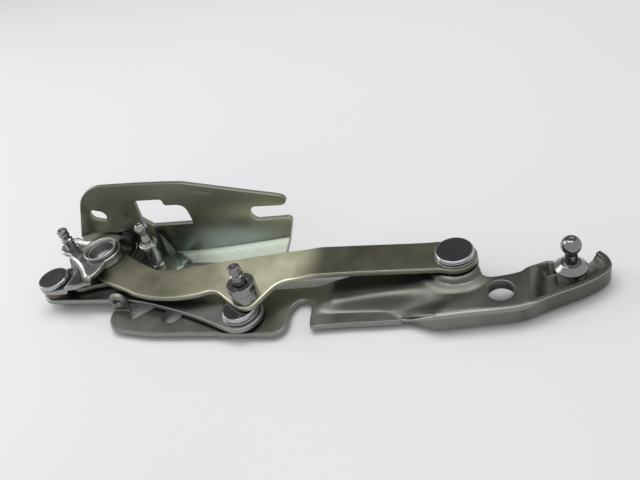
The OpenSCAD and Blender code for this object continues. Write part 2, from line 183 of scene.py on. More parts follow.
class Build:
    """Collects closed shells of one piece, then makes the mesh."""

    def __init__(self):
        self.v, self.f, self.e = [], [], []

    def add(self, verts, faces, edge=None):
        base = len(self.v)
        self.v += [tuple(map(float, q)) for q in verts]
        self.e += list(edge) if edge is not None else [0.0] * len(verts)
        self.f += [tuple(base + i for i in f) for f in faces]

    def finish(self, name, body, mat, nodes=(), sharp=38.0, painted_light=None, painted_tint=None):
        me = bpy.data.meshes.new(name)
        v = np.array(self.v, float)
        v[:, 2] -= RIM
        me.from_pydata([tuple(q) for q in v * 0.001], [], self.f)
        at = me.attributes.new("cut_edge_highlight", "FLOAT", "POINT")
        at.data.foreach_set("value", np.array(self.e, np.float32))
        flat_v = np.array(self.v, float)
        # per-vertex painted light and shade (a scale on the colour) and painted sheen (a shift between the two film
        # shades)
        for label, fn, base in (("painted_light", painted_light, 1.0), ("painted_tint", painted_tint, 0.5)):
            at = me.attributes.new(label, "FLOAT", "POINT")
            val = fn(flat_v[:, 0], flat_v[:, 1], flat_v[:, 2]) if fn else np.full(len(flat_v), base)
            at.data.foreach_set("value", np.asarray(val, np.float32) * np.ones(len(flat_v), np.float32))
        bm = bmesh.new()
        bm.from_mesh(me)
        bmesh.ops.remove_doubles(bm, verts=bm.verts, dist=1e-7)
        bmesh.ops.dissolve_degenerate(bm, edges=bm.edges, dist=1e-7)
        bmesh.ops.recalc_face_normals(bm, faces=bm.faces)
        bm.to_mesh(me)
        bm.free()
        me.polygons.foreach_set("use_smooth", [True] * len(me.polygons))
        me.set_sharp_from_angle(angle=math.radians(sharp))
        ob = bpy.data.objects.new(name, me)
        bpy.context.scene.collection.objects.link(ob)
        wn = ob.modifiers.new("even_shading", "WEIGHTED_NORMAL")
        wn.mode = "FACE_AREA"
        wn.weight = 60
        wn.keep_sharp = True
        me.materials.append(mat)
        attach(ob, body)
        if nodes:
            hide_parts(*nodes)
        return ob


def offset_points(surf, uv, w):
    e = 0.02
    du, dv = np.array([e, 0.0]), np.array([0.0, e])
    P = surf(uv)
    N = np.cross(surf(uv + du) - surf(uv - du), surf(uv + dv) - surf(uv - dv))
    N /= np.linalg.norm(N, axis=1)[:, None]
    return P + N * np.asarray(w, float).reshape(-1, 1)


def sheet(b, outline, holes, surf, t=3.0, re=0.7, rb=0.5, grid=2.4, fine=None, r=1.0, step=1.1, ratio=2.2):
    """Adds a sheet-metal part: a flat blank with holes, laid on a surface, with thickness t and softened edges.
    The face towards +normal gets the larger edge radius re, the other face rb."""
    loops = []
    out = dense(rounded(outline, r), step)
    if area(out) < 0:
        out = out[::-1]
    loops.append(out)
    for h in holes:
        q = dense(h, step)
        if area(q) > 0:
            q = q[::-1]
        loops.append(q)
    rin = max(re, rb)
    # the edge flag lightens the cut faces: bare punched metal with a painted highlight line
    prof = []
    for k in range(5):
        a = math.radians(90 * k / 4)
        prof.append((rb * (1 - math.sin(a)), -t / 2 + rb * (1 - math.cos(a)), 1.0 if k == 4 else k / 5))
    if rb < rin - 1e-6:
        prof.insert(0, (rin, -t / 2, 0.0))
    for k in range(6):
        a = math.radians(90 * k / 5)
        prof.append((re * (1 - math.cos(a)), t / 2 - re * (1 - math.sin(a)), 1.0 if k == 0 else 1 - k / 5 if k < 5 else 0.0))
    if re < rin - 1e-6:
        prof.append((rin, t / 2, 0.0))
    normals = [inward(q) for q in loops]
    inner = [q + n * rin for q, n in zip(loops, normals)]
    # plan triangulation inside the innermost rings
    pts, edges = [], []
    for q in inner:
        s = len(pts)
        pts += [tuple(p) for p in q]
        edges += [(s + i, s + (i + 1) % len(q)) for i in range(len(q))]
    nb = len(pts)
    lo, hi = out.min(0), out.max(0)

    def hexgrid(g):
        ys = np.arange(lo[1] + g / 2, hi[1], g * 0.866)
        rows = []
        for i, y in enumerate(ys):
            xs = np.arange(lo[0] + (g / 2 if i % 2 else 0), hi[0], g)
            rows.append(np.stack([xs, np.full(len(xs), y)], 1))
        return np.concatenate(rows)

    gp = hexgrid(grid)
    if fine is not None:
        gf = hexgrid(grid / ratio)
        gp = np.concatenate([gp[~fine(gp)], gf[fine(gf)]])
    border = np.concatenate(inner)
    keep = inside(gp, inner)
    gp = gp[keep]
    gp = gp[~near(gp, border, 0.75)]
    pts += [tuple(p) for p in gp]
    res = delaunay_2d_cdt([Vector(p) for p in pts], edges, [], 0, 1e-6, True)
    vo = np.array([tuple(p) for p in res[0]], float)
    tri = [f for f in res[2] if len(f) == 3]
    cen = np.array([vo[list(f)].mean(0) for f in tri])
    ok = inside(cen, inner)
    tri = [f for f, k in zip(tri, ok) if k]
    # vertices: rings first, then interior points for the top and the bottom
    uv, w, ed = [], [], []
    ring_start = []
    for q, n in zip(loops, normals):
        starts = []
        for ins, ww, e in prof:
            starts.append(len(uv))
            uv += [tuple(p) for p in q + n * ins]
            w += [ww] * len(q)
            ed += [e] * len(q)
        ring_start.append(starts)
    nring = len(uv)
    top_of, bot_of = {}, {}
    owner = {}
    s = 0
    for li, q in enumerate(inner):
        for i in range(len(q)):
            owner[s + i] = (li, i)
        s += len(q)
    for i, src in enumerate(res[3]):
        bound = [k for k in src if k < nb]
        if bound:
            li, k = owner[bound[0]]
            bot_of[i] = ring_start[li][0] + k
            top_of[i] = ring_start[li][-1] + k
        else:
            top_of[i] = len(uv)
            uv.append(tuple(vo[i]))
            w.append(t / 2)
            ed.append(0.0)
            bot_of[i] = len(uv)
            uv.append(tuple(vo[i]))
            w.append(-t / 2)
            ed.append(0.0)
    faces = []
    for f in tri:
        faces.append(tuple(top_of[i] for i in f))
        faces.append(tuple(bot_of[i] for i in f[::-1]))
    for li, q in enumerate(loops):
        m = len(q)
        st = ring_start[li]
        for k in range(len(prof) - 1):
            for i in range(m):
                j = (i + 1) % m
                faces.append((st[k] + i, st[k] + j, st[k + 1] + j, st[k + 1] + i))
    V = offset_points(surf, np.array(uv, float), np.array(w, float))
    used = sorted({i for f in faces for i in f})
    back = {i: k for k, i in enumerate(used)}
    b.add(V[used], [tuple(back[i] for i in f) for f in faces], [ed[i] for i in used])


def flat(z):
    """Mid-surface of a level sheet whose lower face is at z, 3 mm thick unless moved."""
    return lambda q: np.column_stack([q[:, 0], q[:, 1], np.full(len(q), z)])


def fillet_profile(points, closed):
    """Points (r, z) or (r, z, f): f rounds that corner."""
    P = [(p[0], p[1], p[2] if len(p) > 2 else 0.0) for p in points]
    out = []
    n = len(P)
    for i, (x, y, f) in enumerate(P):
        if f <= 0 or (not closed and i in (0, n - 1)):
            out.append((x, y))
            continue
        a, c = P[i - 1], P[(i + 1) % n]
        u = np.array([a[0] - x, a[1] - y], float)
        v = np.array([c[0] - x, c[1] - y], float)
        lu, lv = np.linalg.norm(u), np.linalg.norm(v)
        u, v = u / lu, v / lv
        ang = math.acos(max(-1.0, min(1.0, float(-(u @ v)))))
        half = (math.pi - ang) / 2
        t = min(f / math.tan(half), 0.49 * lu, 0.49 * lv)
        rr = t * math.tan(half)
        bis = (u + v) / np.linalg.norm(u + v)
        cen = np.array([x, y]) + bis * (rr / math.sin(half))
        p0, p1 = np.array([x, y]) + u * t, np.array([x, y]) + v * t
        a0, a1 = math.atan2(*(p0 - cen)[::-1]), math.atan2(*(p1 - cen)[::-1])
        d = (a1 - a0 + math.pi) % (2 * math.pi) - math.pi
        k = max(3, int(math.ceil(abs(d) / math.radians(15))))
        for j in range(k + 1):
            w = a0 + d * j / k
            out.append((float(cen[0] + rr * math.cos(w)), float(cen[1] + rr * math.sin(w))))
    return out


def lathe(b, c, points, seg=96, closed=False, axis="z", edge=0.0, wob=None):
    """Turned shape round a vertical axis through c, or round -Y for axis 'y' (c is then x, y0, z)."""
    prof = fillet_profile(points, closed)
    verts, idx = [], []
    for r, z in prof:
        if r < 1e-6:
            idx.append([len(verts)] * seg)
            verts.append((0.0, 0.0, z))
        else:
            idx.append(list(range(len(verts), len(verts) + seg)))
            for k in range(seg):
                a = 2 * math.pi * k / seg
                rr = r + (wob(a, z) if wob else 0.0)
                verts.append((rr * math.cos(a), rr * math.sin(a), z))
    faces = []
    n = len(prof)
    for i in range(n if closed else n - 1):
        A, B = idx[i], idx[(i + 1) % n]
        for k in range(seg):
            m = (k + 1) % seg
            f = []
            for q in (A[k], A[m], B[m], B[k]):
                if q not in f:
                    f.append(q)
            if len(f) > 2:
                faces.append(tuple(f))
    V = np.array(verts)
    if axis == "z":
        V = V + np.array([c[0], c[1], 0.0])
    else:
        V = np.column_stack([V[:, 0] + c[0], c[1] - V[:, 2], V[:, 1] + c[2]])
    b.add(V, faces, [edge] * len(V))


def ribbon(b, path, zlo, zhi, t, ro, ri, step=0.9):
    """A wall that stands along a path. path is its outer face; the wall's thickness goes to the left of it.
    zlo, zhi, ro and ri are functions of the distance along the path: lower and upper edge, and the
    radius of the outer and inner upper corner."""
    P = [np.array(q, float) for q in path]
    out = []
    for i in range(len(P) - 1):
        k = max(1, int(math.ceil(np.linalg.norm(P[i + 1] - P[i]) / step)))
        out += [P[i] + (P[i + 1] - P[i]) * j / k for j in range(k)]
    out.append(P[-1])
    P = np.array(out)
    s = np.concatenate([[0.0], np.cumsum(np.linalg.norm(np.diff(P, axis=0), axis=1))])
    T = np.gradient(P, axis=0)
    T /= np.linalg.norm(T, axis=1)[:, None]
    N = np.column_stack([-T[:, 1], T[:, 0]])
    rings = []
    verts, ed = [], []
    for i in range(len(P)):
        z0, z1, o, q = zlo(s[i]), zhi(s[i]), ro(s[i]), ri(s[i])
        sec = []
        rb = 0.45
        for k in range(4):
            a = math.radians(90 * k / 3)
            sec.append((rb * (1 - math.sin(a)), z0 + rb * (1 - math.cos(a)), 1.0 if k < 3 else 0.0))
        for k in range(9):
            a = math.radians(90 * k / 8)
            sec.append((o * (1 - math.cos(a)), z1 - o * (1 - math.sin(a)), 0.0 if k < 8 else 0.0))
        for k in range(6):
            a = math.radians(90 * k / 5)
            sec.append((t - q * (1 - math.sin(a)), z1 - q * (1 - math.cos(a)), 0.0))
        for k in range(4):
            a = math.radians(90 * k / 3)
            sec.append((t - rb * (1 - math.cos(a)), z0 + rb * (1 - math.sin(a)), 0.0 if k == 0 else 1.0))
        rings.append(len(verts))
        for n_, z_, e_ in sec:
            p = P[i] + N[i] * n_
            verts.append((p[0], p[1], z_))
            # the outer upper corner gets the edge flag as well: a painted highlight line along the bend
            ed.append(e_ if not (z_ > z1 - 0.9 * o and n_ < 0.9 * o) else 0.9)
    m = len(sec)
    faces = []
    for i in range(len(P) - 1):
        for k in range(m):
            j = (k + 1) % m
            faces.append((rings[i] + k, rings[i] + j, rings[i + 1] + j, rings[i + 1] + k))
    faces.append(tuple(rings[0] + k for k in range(m)))
    faces.append(tuple(rings[-1] + k for k in range(m))[::-1])
    b.add(verts, faces, ed)


# ------------------------------------------------------------------ materials
def nodes_of(mat):
    mat.use_nodes = True
    nt = mat.node_tree
    bsdf = nt.nodes.get("Principled BSDF")
    return nt, nt.nodes, nt.links, bsdf


def add(ns, kind, **kw):
    n = ns.new(kind)
    for k, v in kw.items():
        setattr(n, k, v)
    return n


def metal(name, col_a, col_b, rough, spread=0.10, bump=0.35, patch=26.0, grain=1500.0, edge_col=None, brush=None, wave=0.25, crease_shade=0.18):
    """Plated or bare metal: two tints in soft patches, fine grain, slow waviness of the reflection, small scuffs,
    a brighter and rougher punched edge with a painted highlight line, painted light and shade from the mesh, and
    painted shade in the creases."""
    mat = bpy.data.materials.new(name)
    nt, ns, ln, bs = nodes_of(mat)
    bs.inputs["Metallic"].default_value = 1.0
    tc = add(ns, "ShaderNodeTexCoord")
    n1 = add(ns, "ShaderNodeTexNoise")
    n1.inputs["Scale"].default_value = patch
    n1.inputs["Detail"].default_value = 3.0
    n1.inputs["Roughness"].default_value = 0.55
    ln.new(tc.outputs["Object"], n1.inputs["Vector"])
    r1 = add(ns, "ShaderNodeValToRGB")
    r1.color_ramp.elements[0].position = 0.1
    r1.color_ramp.elements[0].color = (*col_a, 1)
    r1.color_ramp.elements[1].position = 0.9
    r1.color_ramp.elements[1].color = (*col_b, 1)
    # fine speckle of the plating
    n2 = add(ns, "ShaderNodeTexNoise")
    n2.inputs["Scale"].default_value = grain
    n2.inputs["Detail"].default_value = 2.0
    ln.new(tc.outputs["Object"], n2.inputs["Vector"])
    mp = add(ns, "ShaderNodeMapping")
    if brush:
        mp.inputs["Scale"].default_value = brush
    ln.new(tc.outputs["Object"], mp.inputs["Vector"])
    n3 = add(ns, "ShaderNodeTexNoise")
    n3.inputs["Scale"].default_value = grain * 0.25
    n3.inputs["Detail"].default_value = 3.0
    ln.new(mp.outputs["Vector"], n3.inputs["Vector"])
    sp = add(ns, "ShaderNodeMapRange")
    sp.inputs["To Min"].default_value = 0.90
    sp.inputs["To Max"].default_value = 1.08
    ln.new(n2.outputs["Fac"], sp.inputs["Value"])
    mul = add(ns, "ShaderNodeVectorMath", operation="SCALE")
    ln.new(r1.outputs["Color"], mul.inputs[0])
    ln.new(sp.outputs["Result"], mul.inputs["Scale"])
    col = mul.outputs["Vector"]
    # painted light and shade: one per-vertex value scales the colour, lighter where light falls and darker in shade;
    # the other, with random patches added, picks between the two film shades and so also paints sheen and reflected
    # colour
    tn = add(ns, "ShaderNodeAttribute", attribute_name="painted_light")
    ti = add(ns, "ShaderNodeAttribute", attribute_name="painted_tint")
    wob = add(ns, "ShaderNodeMapRange")
    wob.inputs["From Min"].default_value = 0.3
    wob.inputs["From Max"].default_value = 0.7
    wob.inputs["To Min"].default_value = -0.22
    wob.inputs["To Max"].default_value = 0.22
    ln.new(n1.outputs["Fac"], wob.inputs["Value"])
    tsum = add(ns, "ShaderNodeMath", operation="ADD", use_clamp=True)
    ln.new(ti.outputs["Fac"], tsum.inputs[0])
    ln.new(wob.outputs["Result"], tsum.inputs[1])
    ln.new(tsum.outputs[0], r1.inputs["Fac"])
    tm = add(ns, "ShaderNodeVectorMath", operation="SCALE")
    ln.new(col, tm.inputs[0])
    ln.new(tn.outputs["Fac"], tm.inputs["Scale"])
    col = tm.outputs["Vector"]
    # handling marks: faint, stretched scratches in a few places
    sv = add(ns, "ShaderNodeMapping")
    sv.inputs["Scale"].default_value = (25.0, 420.0, 300.0)
    sv.inputs["Rotation"].default_value = (0.2, 0.1, 0.5)
    ln.new(tc.outputs["Object"], sv.inputs["Vector"])
    vo = add(ns, "ShaderNodeTexNoise")
    vo.inputs["Scale"].default_value = 1.0
    vo.inputs["Detail"].default_value = 1.0
    ln.new(sv.outputs["Vector"], vo.inputs["Vector"])
    sc = add(ns, "ShaderNodeMapRange")
    sc.inputs["From Min"].default_value = 0.66
    sc.inputs["From Max"].default_value = 0.74
    ln.new(vo.outputs["Fac"], sc.inputs["Value"])
    gate = add(ns, "ShaderNodeTexNoise")
    gate.inputs["Scale"].default_value = 45.0
    ln.new(tc.outputs["Object"], gate.inputs["Vector"])
    gr = add(ns, "ShaderNodeMapRange")
    gr.inputs["From Min"].default_value = 0.55
    gr.inputs["From Max"].default_value = 0.68
    ln.new(gate.outputs["Fac"], gr.inputs["Value"])
    scuff = add(ns, "ShaderNodeMath", operation="MULTIPLY")
    ln.new(sc.outputs["Result"], scuff.inputs[0])
    ln.new(gr.outputs["Result"], scuff.inputs[1])
    mx = add(ns, "ShaderNodeMix", data_type="RGBA")
    mx.inputs["B"].default_value = (*[min(1.0, c * 1.7) for c in col_b], 1)
    f1 = add(ns, "ShaderNodeMath", operation="MULTIPLY")
    f1.inputs[1].default_value = 0.22
    ln.new(scuff.outputs[0], f1.inputs[0])
    ln.new(f1.outputs[0], mx.inputs["Factor"])
    ln.new(col, mx.inputs["A"])
    col = mx.outputs["Result"]
    # punched edges: lighter, rougher bare metal, with a painted highlight line along them
    at = add(ns, "ShaderNodeAttribute", attribute_name="cut_edge_highlight")
    me = add(ns, "ShaderNodeMix", data_type="RGBA")
    ec = edge_col or tuple(min(1.0, c * 1.25) for c in col_b)
    me.inputs["B"].default_value = (*ec, 1)
    fe = add(ns, "ShaderNodeMath", operation="MULTIPLY")
    fe.inputs[1].default_value = 0.75
    ln.new(at.outputs["Fac"], fe.inputs[0])
    ln.new(fe.outputs[0], me.inputs["Factor"])
    ln.new(col, me.inputs["A"])
    col = me.outputs["Result"]
    # painted shade where surfaces meet: ambient occlusion darkens the colour
    ao = add(ns, "ShaderNodeAmbientOcclusion")
    ao.inputs["Distance"].default_value = 0.004
    ao.samples = 8
    ar = add(ns, "ShaderNodeMapRange")
    ar.inputs["From Min"].default_value = 0.35
    ar.inputs["From Max"].default_value = 0.95
    ar.inputs["To Min"].default_value = 1.0 - crease_shade
    ar.inputs["To Max"].default_value = 1.0
    ln.new(ao.outputs["AO"], ar.inputs["Value"])
    md = add(ns, "ShaderNodeVectorMath", operation="SCALE")
    ln.new(col, md.inputs[0])
    ln.new(ar.outputs["Result"], md.inputs["Scale"])
    ln.new(md.outputs["Vector"], bs.inputs["Base Color"])
    # roughness
    rr = add(ns, "ShaderNodeMapRange")
    rr.inputs["From Min"].default_value = 0.3
    rr.inputs["From Max"].default_value = 0.7
    rr.inputs["To Min"].default_value = rough - spread / 2
    rr.inputs["To Max"].default_value = rough + spread / 2
    n4 = add(ns, "ShaderNodeTexNoise")
    n4.inputs["Scale"].default_value = patch * 5
    n4.inputs["Detail"].default_value = 4.0
    ln.new(tc.outputs["Object"], n4.inputs["Vector"])
    ln.new(n4.outputs["Fac"], rr.inputs["Value"])
    re_ = add(ns, "ShaderNodeMath", operation="MULTIPLY_ADD")
    re_.inputs[1].default_value = 0.14
    ln.new(at.outputs["Fac"], re_.inputs[0])
    ln.new(rr.outputs["Result"], re_.inputs[2])
    ln.new(re_.outputs[0], bs.inputs["Roughness"])
    # bump: slow waviness, then grain
    n5 = add(ns, "ShaderNodeTexNoise")
    n5.inputs["Scale"].default_value = 90.0
    n5.inputs["Detail"].default_value = 1.0
    ln.new(tc.outputs["Object"], n5.inputs["Vector"])
    b0 = add(ns, "ShaderNodeBump")
    b0.inputs["Strength"].default_value = wave
    b0.inputs["Distance"].default_value = 0.00012
    ln.new(n5.outputs["Fac"], b0.inputs["Height"])
    b1 = add(ns, "ShaderNodeBump")
    b1.inputs["Strength"].default_value = bump
    b1.inputs["Distance"].default_value = 0.00003
    ln.new(n3.outputs["Fac"], b1.inputs["Height"])
    ln.new(b0.outputs["Normal"], b1.inputs["Normal"])
    ln.new(b1.outputs["Normal"], bs.inputs["Normal"])
    return mat


def rubber(name):
    mat = bpy.data.materials.new(name)
    nt, ns, ln, bs = nodes_of(mat)
    tc = add(ns, "ShaderNodeTexCoord")
    n = add(ns, "ShaderNodeTexNoise")
    n.inputs["Scale"].default_value = 700.0
    n.inputs["Detail"].default_value = 3.0
    ln.new(tc.outputs["Object"], n.inputs["Vector"])
    r = add(ns, "ShaderNodeValToRGB")
    r.color_ramp.elements[0].color = (0.006, 0.006, 0.006, 1)
    r.color_ramp.elements[1].color = (0.018, 0.019, 0.018, 1)
    ln.new(n.outputs["Fac"], r.inputs["Fac"])
    ln.new(r.outputs["Color"], bs.inputs["Base Color"])
    q = add(ns, "ShaderNodeMapRange")
    q.inputs["To Min"].default_value = 0.38
    q.inputs["To Max"].default_value = 0.6
    ln.new(n.outputs["Fac"], q.inputs["Value"])
    ln.new(q.outputs["Result"], bs.inputs["Roughness"])
    b = add(ns, "ShaderNodeBump")
    b.inputs["Strength"].default_value = 0.3
    b.inputs["Distance"].default_value = 0.00005
    ln.new(n.outputs["Fac"], b.inputs["Height"])
    ln.new(b.outputs["Normal"], bs.inputs["Normal"])
    return mat


M_BRACKET = metal("zinc_bracket", (0.27, 0.275, 0.205), (0.25, 0.295, 0.258), 0.30, patch=16.0, edge_col=(0.25, 0.26, 0.22))
M_BRIDGE = metal("zinc_bridge", (0.22, 0.22, 0.21), (0.37, 0.37, 0.35), 0.24, patch=34.0, bump=0.15, wave=0.08, edge_col=(0.38, 0.38, 0.36))
M_LINK = metal("zinc_link", (0.38, 0.375, 0.27), (0.50, 0.48, 0.36), 0.34, patch=14.0, edge_col=(0.44, 0.43, 0.34))
M_DARK = metal("zinc_dark_link", (0.25, 0.257, 0.235), (0.32, 0.335, 0.315), 0.32, patch=20.0, edge_col=(0.31, 0.315, 0.30))
M_LID = metal("zinc_lid", (0.20, 0.203, 0.176), (0.20, 0.217, 0.188), 0.34, patch=18.0, edge_col=(0.33, 0.335, 0.31))
M_TURNED = metal("turned_steel", (0.29, 0.29, 0.285), (0.38, 0.38, 0.375), 0.17, spread=0.08, patch=60.0, brush=(0.15, 0.15, 3.0), bump=0.3, wave=0.04)
M_CUP = metal("turned_steel_cup", (0.40, 0.40, 0.39), (0.48, 0.48, 0.47), 0.34, spread=0.08, patch=60.0, bump=0.4, wave=0.05)
M_RIVET = metal("rivet_steel", (0.135, 0.135, 0.14), (0.17, 0.17, 0.175), 0.17, spread=0.06, patch=45.0, bump=0.2, wave=0.1, edge_col=(0.5, 0.5, 0.5))
M_WASHER = metal("washer_steel", (0.38, 0.38, 0.37), (0.47, 0.47, 0.46), 0.24, patch=50.0, wave=0.1)
M_BRONZE = metal("bronze", (0.14, 0.105, 0.09), (0.19, 0.15, 0.125), 0.48, patch=70.0, bump=0.8)
M_RUBBER = rubber("black_rubber")

# ------------------------------------------------------------------ body bracket
BEND = [(34.0, 5.0), (39.0, 4.9), (46.0, 4.7), (53.0, 4.8), (60.0, 5.3), (72.6, 6.4), (94.0, 8.7), (121.5, 12.2), (135.0, 14.0)]
BEND_C = np.array(cr(BEND, 8))


TONGUE = np.array([(-3.0, 41.2), (5.0, 39.6), (12.0, 37.6), (20.0, 35.6), (27.0, 34.0)])


def wall_surf(q):
    """Upright wall. Below the bend line it turns forward as the stiffening lip; left of the lip the
    metal bulges forward as the shoulder of the seat for the strut stud."""
    x, z = q[:, 0], q[:, 1]
    zb = np.interp(x, BEND_C[:, 0], BEND_C[:, 1])
    s = zb - z
    k = 0.45
    g = 0.5 * (s + np.sqrt(s * s + 4 * k * k)) * sm((s + 5.0) / 4.0)
    xl = np.interp(z, TONGUE[:, 0], TONGUE[:, 1])
    left = sm((xl + 0.8 - x) / 2.8) * sm((x - xl + 9.0) / 5.0) * sm((27.0 - z) / 10.0)
    bulge = (1.0 + 2.6 * sm((20.0 - z) / 18.0)) * left
    return np.column_stack([x, 17.5 - 1.65 * g * sm((x - xl) / 2.2) - bulge, z])


wall_out = (
    cr([(-24.5, 22), (-16.8, 37.5), (-10.8, 49), (-6, 54.2), (0, 58), (7, 60)], 4)
    + cr([(7, 60), (35, 59.6), (61, 58.4), (71, 56.7), (97, 50.6), (122, 44.9)], 4)
    + cr([(122, 44.9), (125.6, 43.4), (126.9, 40.9), (125.6, 38.4), (122.6, 37.4)], 4)
    + [(108, 37.5)]
    + arc((107, 32.7), 4.9, 90, 262, 14)
    + [(125.4, 28.5)]
    + cr([(127.3, 26.6), (125.2, 20), (122.0, 11.5), (119.8, 4.6)], 3)
    + [(109, 2.6), (94, 1.4), (72, 0.4), (52, -0.2), (42.0, -0.2), (38.0, 2.1), (12, 2.1), (12, 9.2), (-24.5, 9.2)]
)
window = [(26.9, 33.3), (28.0, 47.4), (46.8, 47.2), (47.6, 42.6), (56, 42.4)] + cr([(56, 42.4), (59.6, 41.0), (61.3, 37.5), (62.0, 28.3)], 4) + [(33, 27.8)]
slot_c, slot_hw, slot_r = (-2.8, 38.0), 2.0, 3.75
tilt = math.atan2(-0.6, 2.0)
slot_loop = []
for k in range(33):
    a = math.radians(-90 + 180 * k / 32)
    slot_loop.append((slot_hw + slot_r * math.cos(a), slot_r * math.sin(a)))
for k in range(33):
    a = math.radians(90 + 180 * k / 32)
    slot_loop.append((-slot_hw + slot_r * math.cos(a), slot_r * math.sin(a)))
slot_loop = [(slot_c[0] + x * math.cos(tilt) - y * math.sin(tilt), slot_c[1] + x * math.sin(tilt) + y * math.cos(tilt)) for x, y in slot_loop]

b = Build()
sheet(
    b, wall_out, [rounded(window, 1.6), slot_loop, circle((12.0, 20.0), 2.5, 40)], wall_surf,
    re=0.7, rb=0.55, grid=2.2, r=1.4, fine=lambda q: (np.abs(q[:, 1] - np.interp(q[:, 0], BEND_C[:, 0], BEND_C[:, 1])) < 2.4) & (q[:, 0] > 36) | ((q[:, 0] > 31) & (q[:, 0] < 44) & (q[:, 1] < 27)),
)
# raised base round the main pivot, turning up into the wall
base_out = [(-24.5, 17.2), (-22, 4)] + cr([(-22, 4), (-19, -6), (-16.5, -16), (-14, -22.4), (-9, -24), (0, -21.2), (12, -18.6)], 5) + [(15.5, -14), (15.5, 17.2)]


def base_surf(q):
    z = 10.5 + np.clip(q[:, 1] - 13.0, 0, None) ** 2 * 0.22
    return np.column_stack([q[:, 0], q[:, 1], z])


sheet(b, base_out, [circle(P0, 8.1), ], base_surf, grid=4.0, r=1.5)


# step down to the seat of the strut stud, and the seat itself
def seat_surf(q):
    x = q[:, 0]
    z = 10.5 - 7.0 * sm((x - 12.0) / 6.0)
    return np.column_stack([x, q[:, 1], z])


seat_out = [(11.0, 17.0), (11.0, -10.0), (17.0, -6.0), (24.0, -3.4), (46.0, -3.0), (51.0, 1.5), (52.0, 9.0), (46.0, 14.5), (38.5, 16.8)]
sheet(b, seat_out, [circle(S2, 4.05, 48)], seat_surf, grid=2.4, r=2.0)



# painted light and shade on the wall: darker towards the top and the left, lighter low on the right, a darker spot by
# the lip's left end, a lighter lip and a painted highlight line along the bend
def wall_painted_light(x, y, z):
    up = sm((z - 30.0) / 26.0)
    t = 1.0 - 0.30 * up * sm((70.0 - x) / 60.0) + 0.95 * sm((x - 50.0) / 60.0) * (1 - up) * sm((46.0 - z) / 14.0)
    t = t - 0.30 * np.exp(-(((x - 42.0) / 9.0) ** 2 + ((z - 14.0) / 10.0) ** 2)) + 0.25 * np.exp(-(((x - 20.0) / 26.0) ** 2 + ((z - 30.0) / 10.0) ** 2))
    t = t * (1.0 - 0.40 * sm((z - 26.0) / 22.0) * (1.0 - 0.4 * sm((x - 90.0) / 40.0)))
    t = t + 0.52 * sm((x - 52.0) / 26.0) * sm((28.0 - z) / 10.0)
    lip = sm((15.2 - y) / 2.0) * sm((x - 42.0) / 4.0)
    line = np.exp(-((z - np.interp(x, BEND_C[:, 0], BEND_C[:, 1]) + 0.2) / 0.8) ** 2) * sm((x - 43.0) / 6.0) * (y < 16.5)
    return t * (1 - lip) + lip * (1.45 + 1.15 * sm((x - 50.0) / 36.0)) + 0.95 * line


# the wall's painted tint moves its lower middle to the greener film shade: painted reflection colour
b.finish("body_bracket_shell", "root", M_BRACKET, ["body_bracket"], painted_light=wall_painted_light,
         painted_tint=lambda x, y, z: 0.12 + 0.8 * np.exp(-((z - 14.0) / 13.0) ** 2) * sm((x + 20.0) / 50.0) * sm((150.0 - x) / 70.0))

# ------------------------------------------------------------------ pivot bridge
pad_edge = cr([(-29.0, -1.0), (-24.0, -2.6), (-18.6, -5.2), (-14.2, -7.9), (-10.0, -11.4), (-5.6, -16.2), (-1.4, -21.6)], 6)
bridge_out = (
    cr([(9.5, 13.2), (5.0, 14.6), (0.0, 14.6), (-5.0, 13.6), (-9.6, 11.6), (-13.9, 10.4), (-18.0, 11.2), (-22.0, 12.8), (-26.0, 14.2), (-29.6, 14.2)], 5)
    + cr([(-29.6, 14.2), (-32.6, 11.2), (-34.2, 6.8), (-32.8, 2.6), (-29.2, -0.4), (-24.6, -1.9)], 5)
    + cr([(-24.6, -1.9), (-22.2, -2.9), (-21.4, -4.6), (-23.0, -6.8)], 4)
    + cr([(-23.0, -6.8), (-28.5, -9.8)], 2)
    + arc(CTL, 9.8, 96, 262, 28)
    + cr([(-29.4, -29.2), (-24.0, -29.4), (-17.2, -28.9), (-11.0, -29.6), (-6.4, -29.0), (-2.6, -27.2), (0.6, -25.8), (3.6, -24.9), (6.0, -21.5), (7.6, -16.0)], 5)
    + arc(P0, 12.6, -50, 50, 14)
)
BACK = np.array(cr([(-40.0, 16.5), (-29.6, 14.4), (-22.0, 12.8), (-13.9, 10.4), (-9.6, 11.6), (-5.0, 13.6), (0.0, 14.6), (12.0, 14.0)], 5))
JL = np.array(cr([(-34, 1.5), (-29.0, -2.2), (-24.0, -4.6), (-18.6, -7.2), (-14.0, -10.0), (-9.6, -13.6), (-5.2, -18.2), (-1.2, -22.9), (2.4, -25.3), (6.2, -24.6), (12.0, -22.0)], 8))


def signed_to(line, q):
    """Signed distance to an open polyline, positive on its right side."""
    a, bb = line[:-1], line[1:]
    d = bb - a
    L2 = (d ** 2).sum(1)
    best = np.full(len(q), 1e9)
    sign = np.zeros(len(q))
    for i in range(len(a)):
        t = np.clip(((q - a[i]) @ d[i]) / L2[i], 0, 1)
        v = q - (a[i] + t[:, None] * d[i])
        dist = np.sqrt((v ** 2).sum(1))
        hit = dist < best
        best = np.where(hit, dist, best)
        cr_ = d[i][0] * v[:, 1] - d[i][1] * v[:, 0]
        sign = np.where(hit, np.where(cr_ < 0, 1.0, -1.0), sign)
    return best * sign


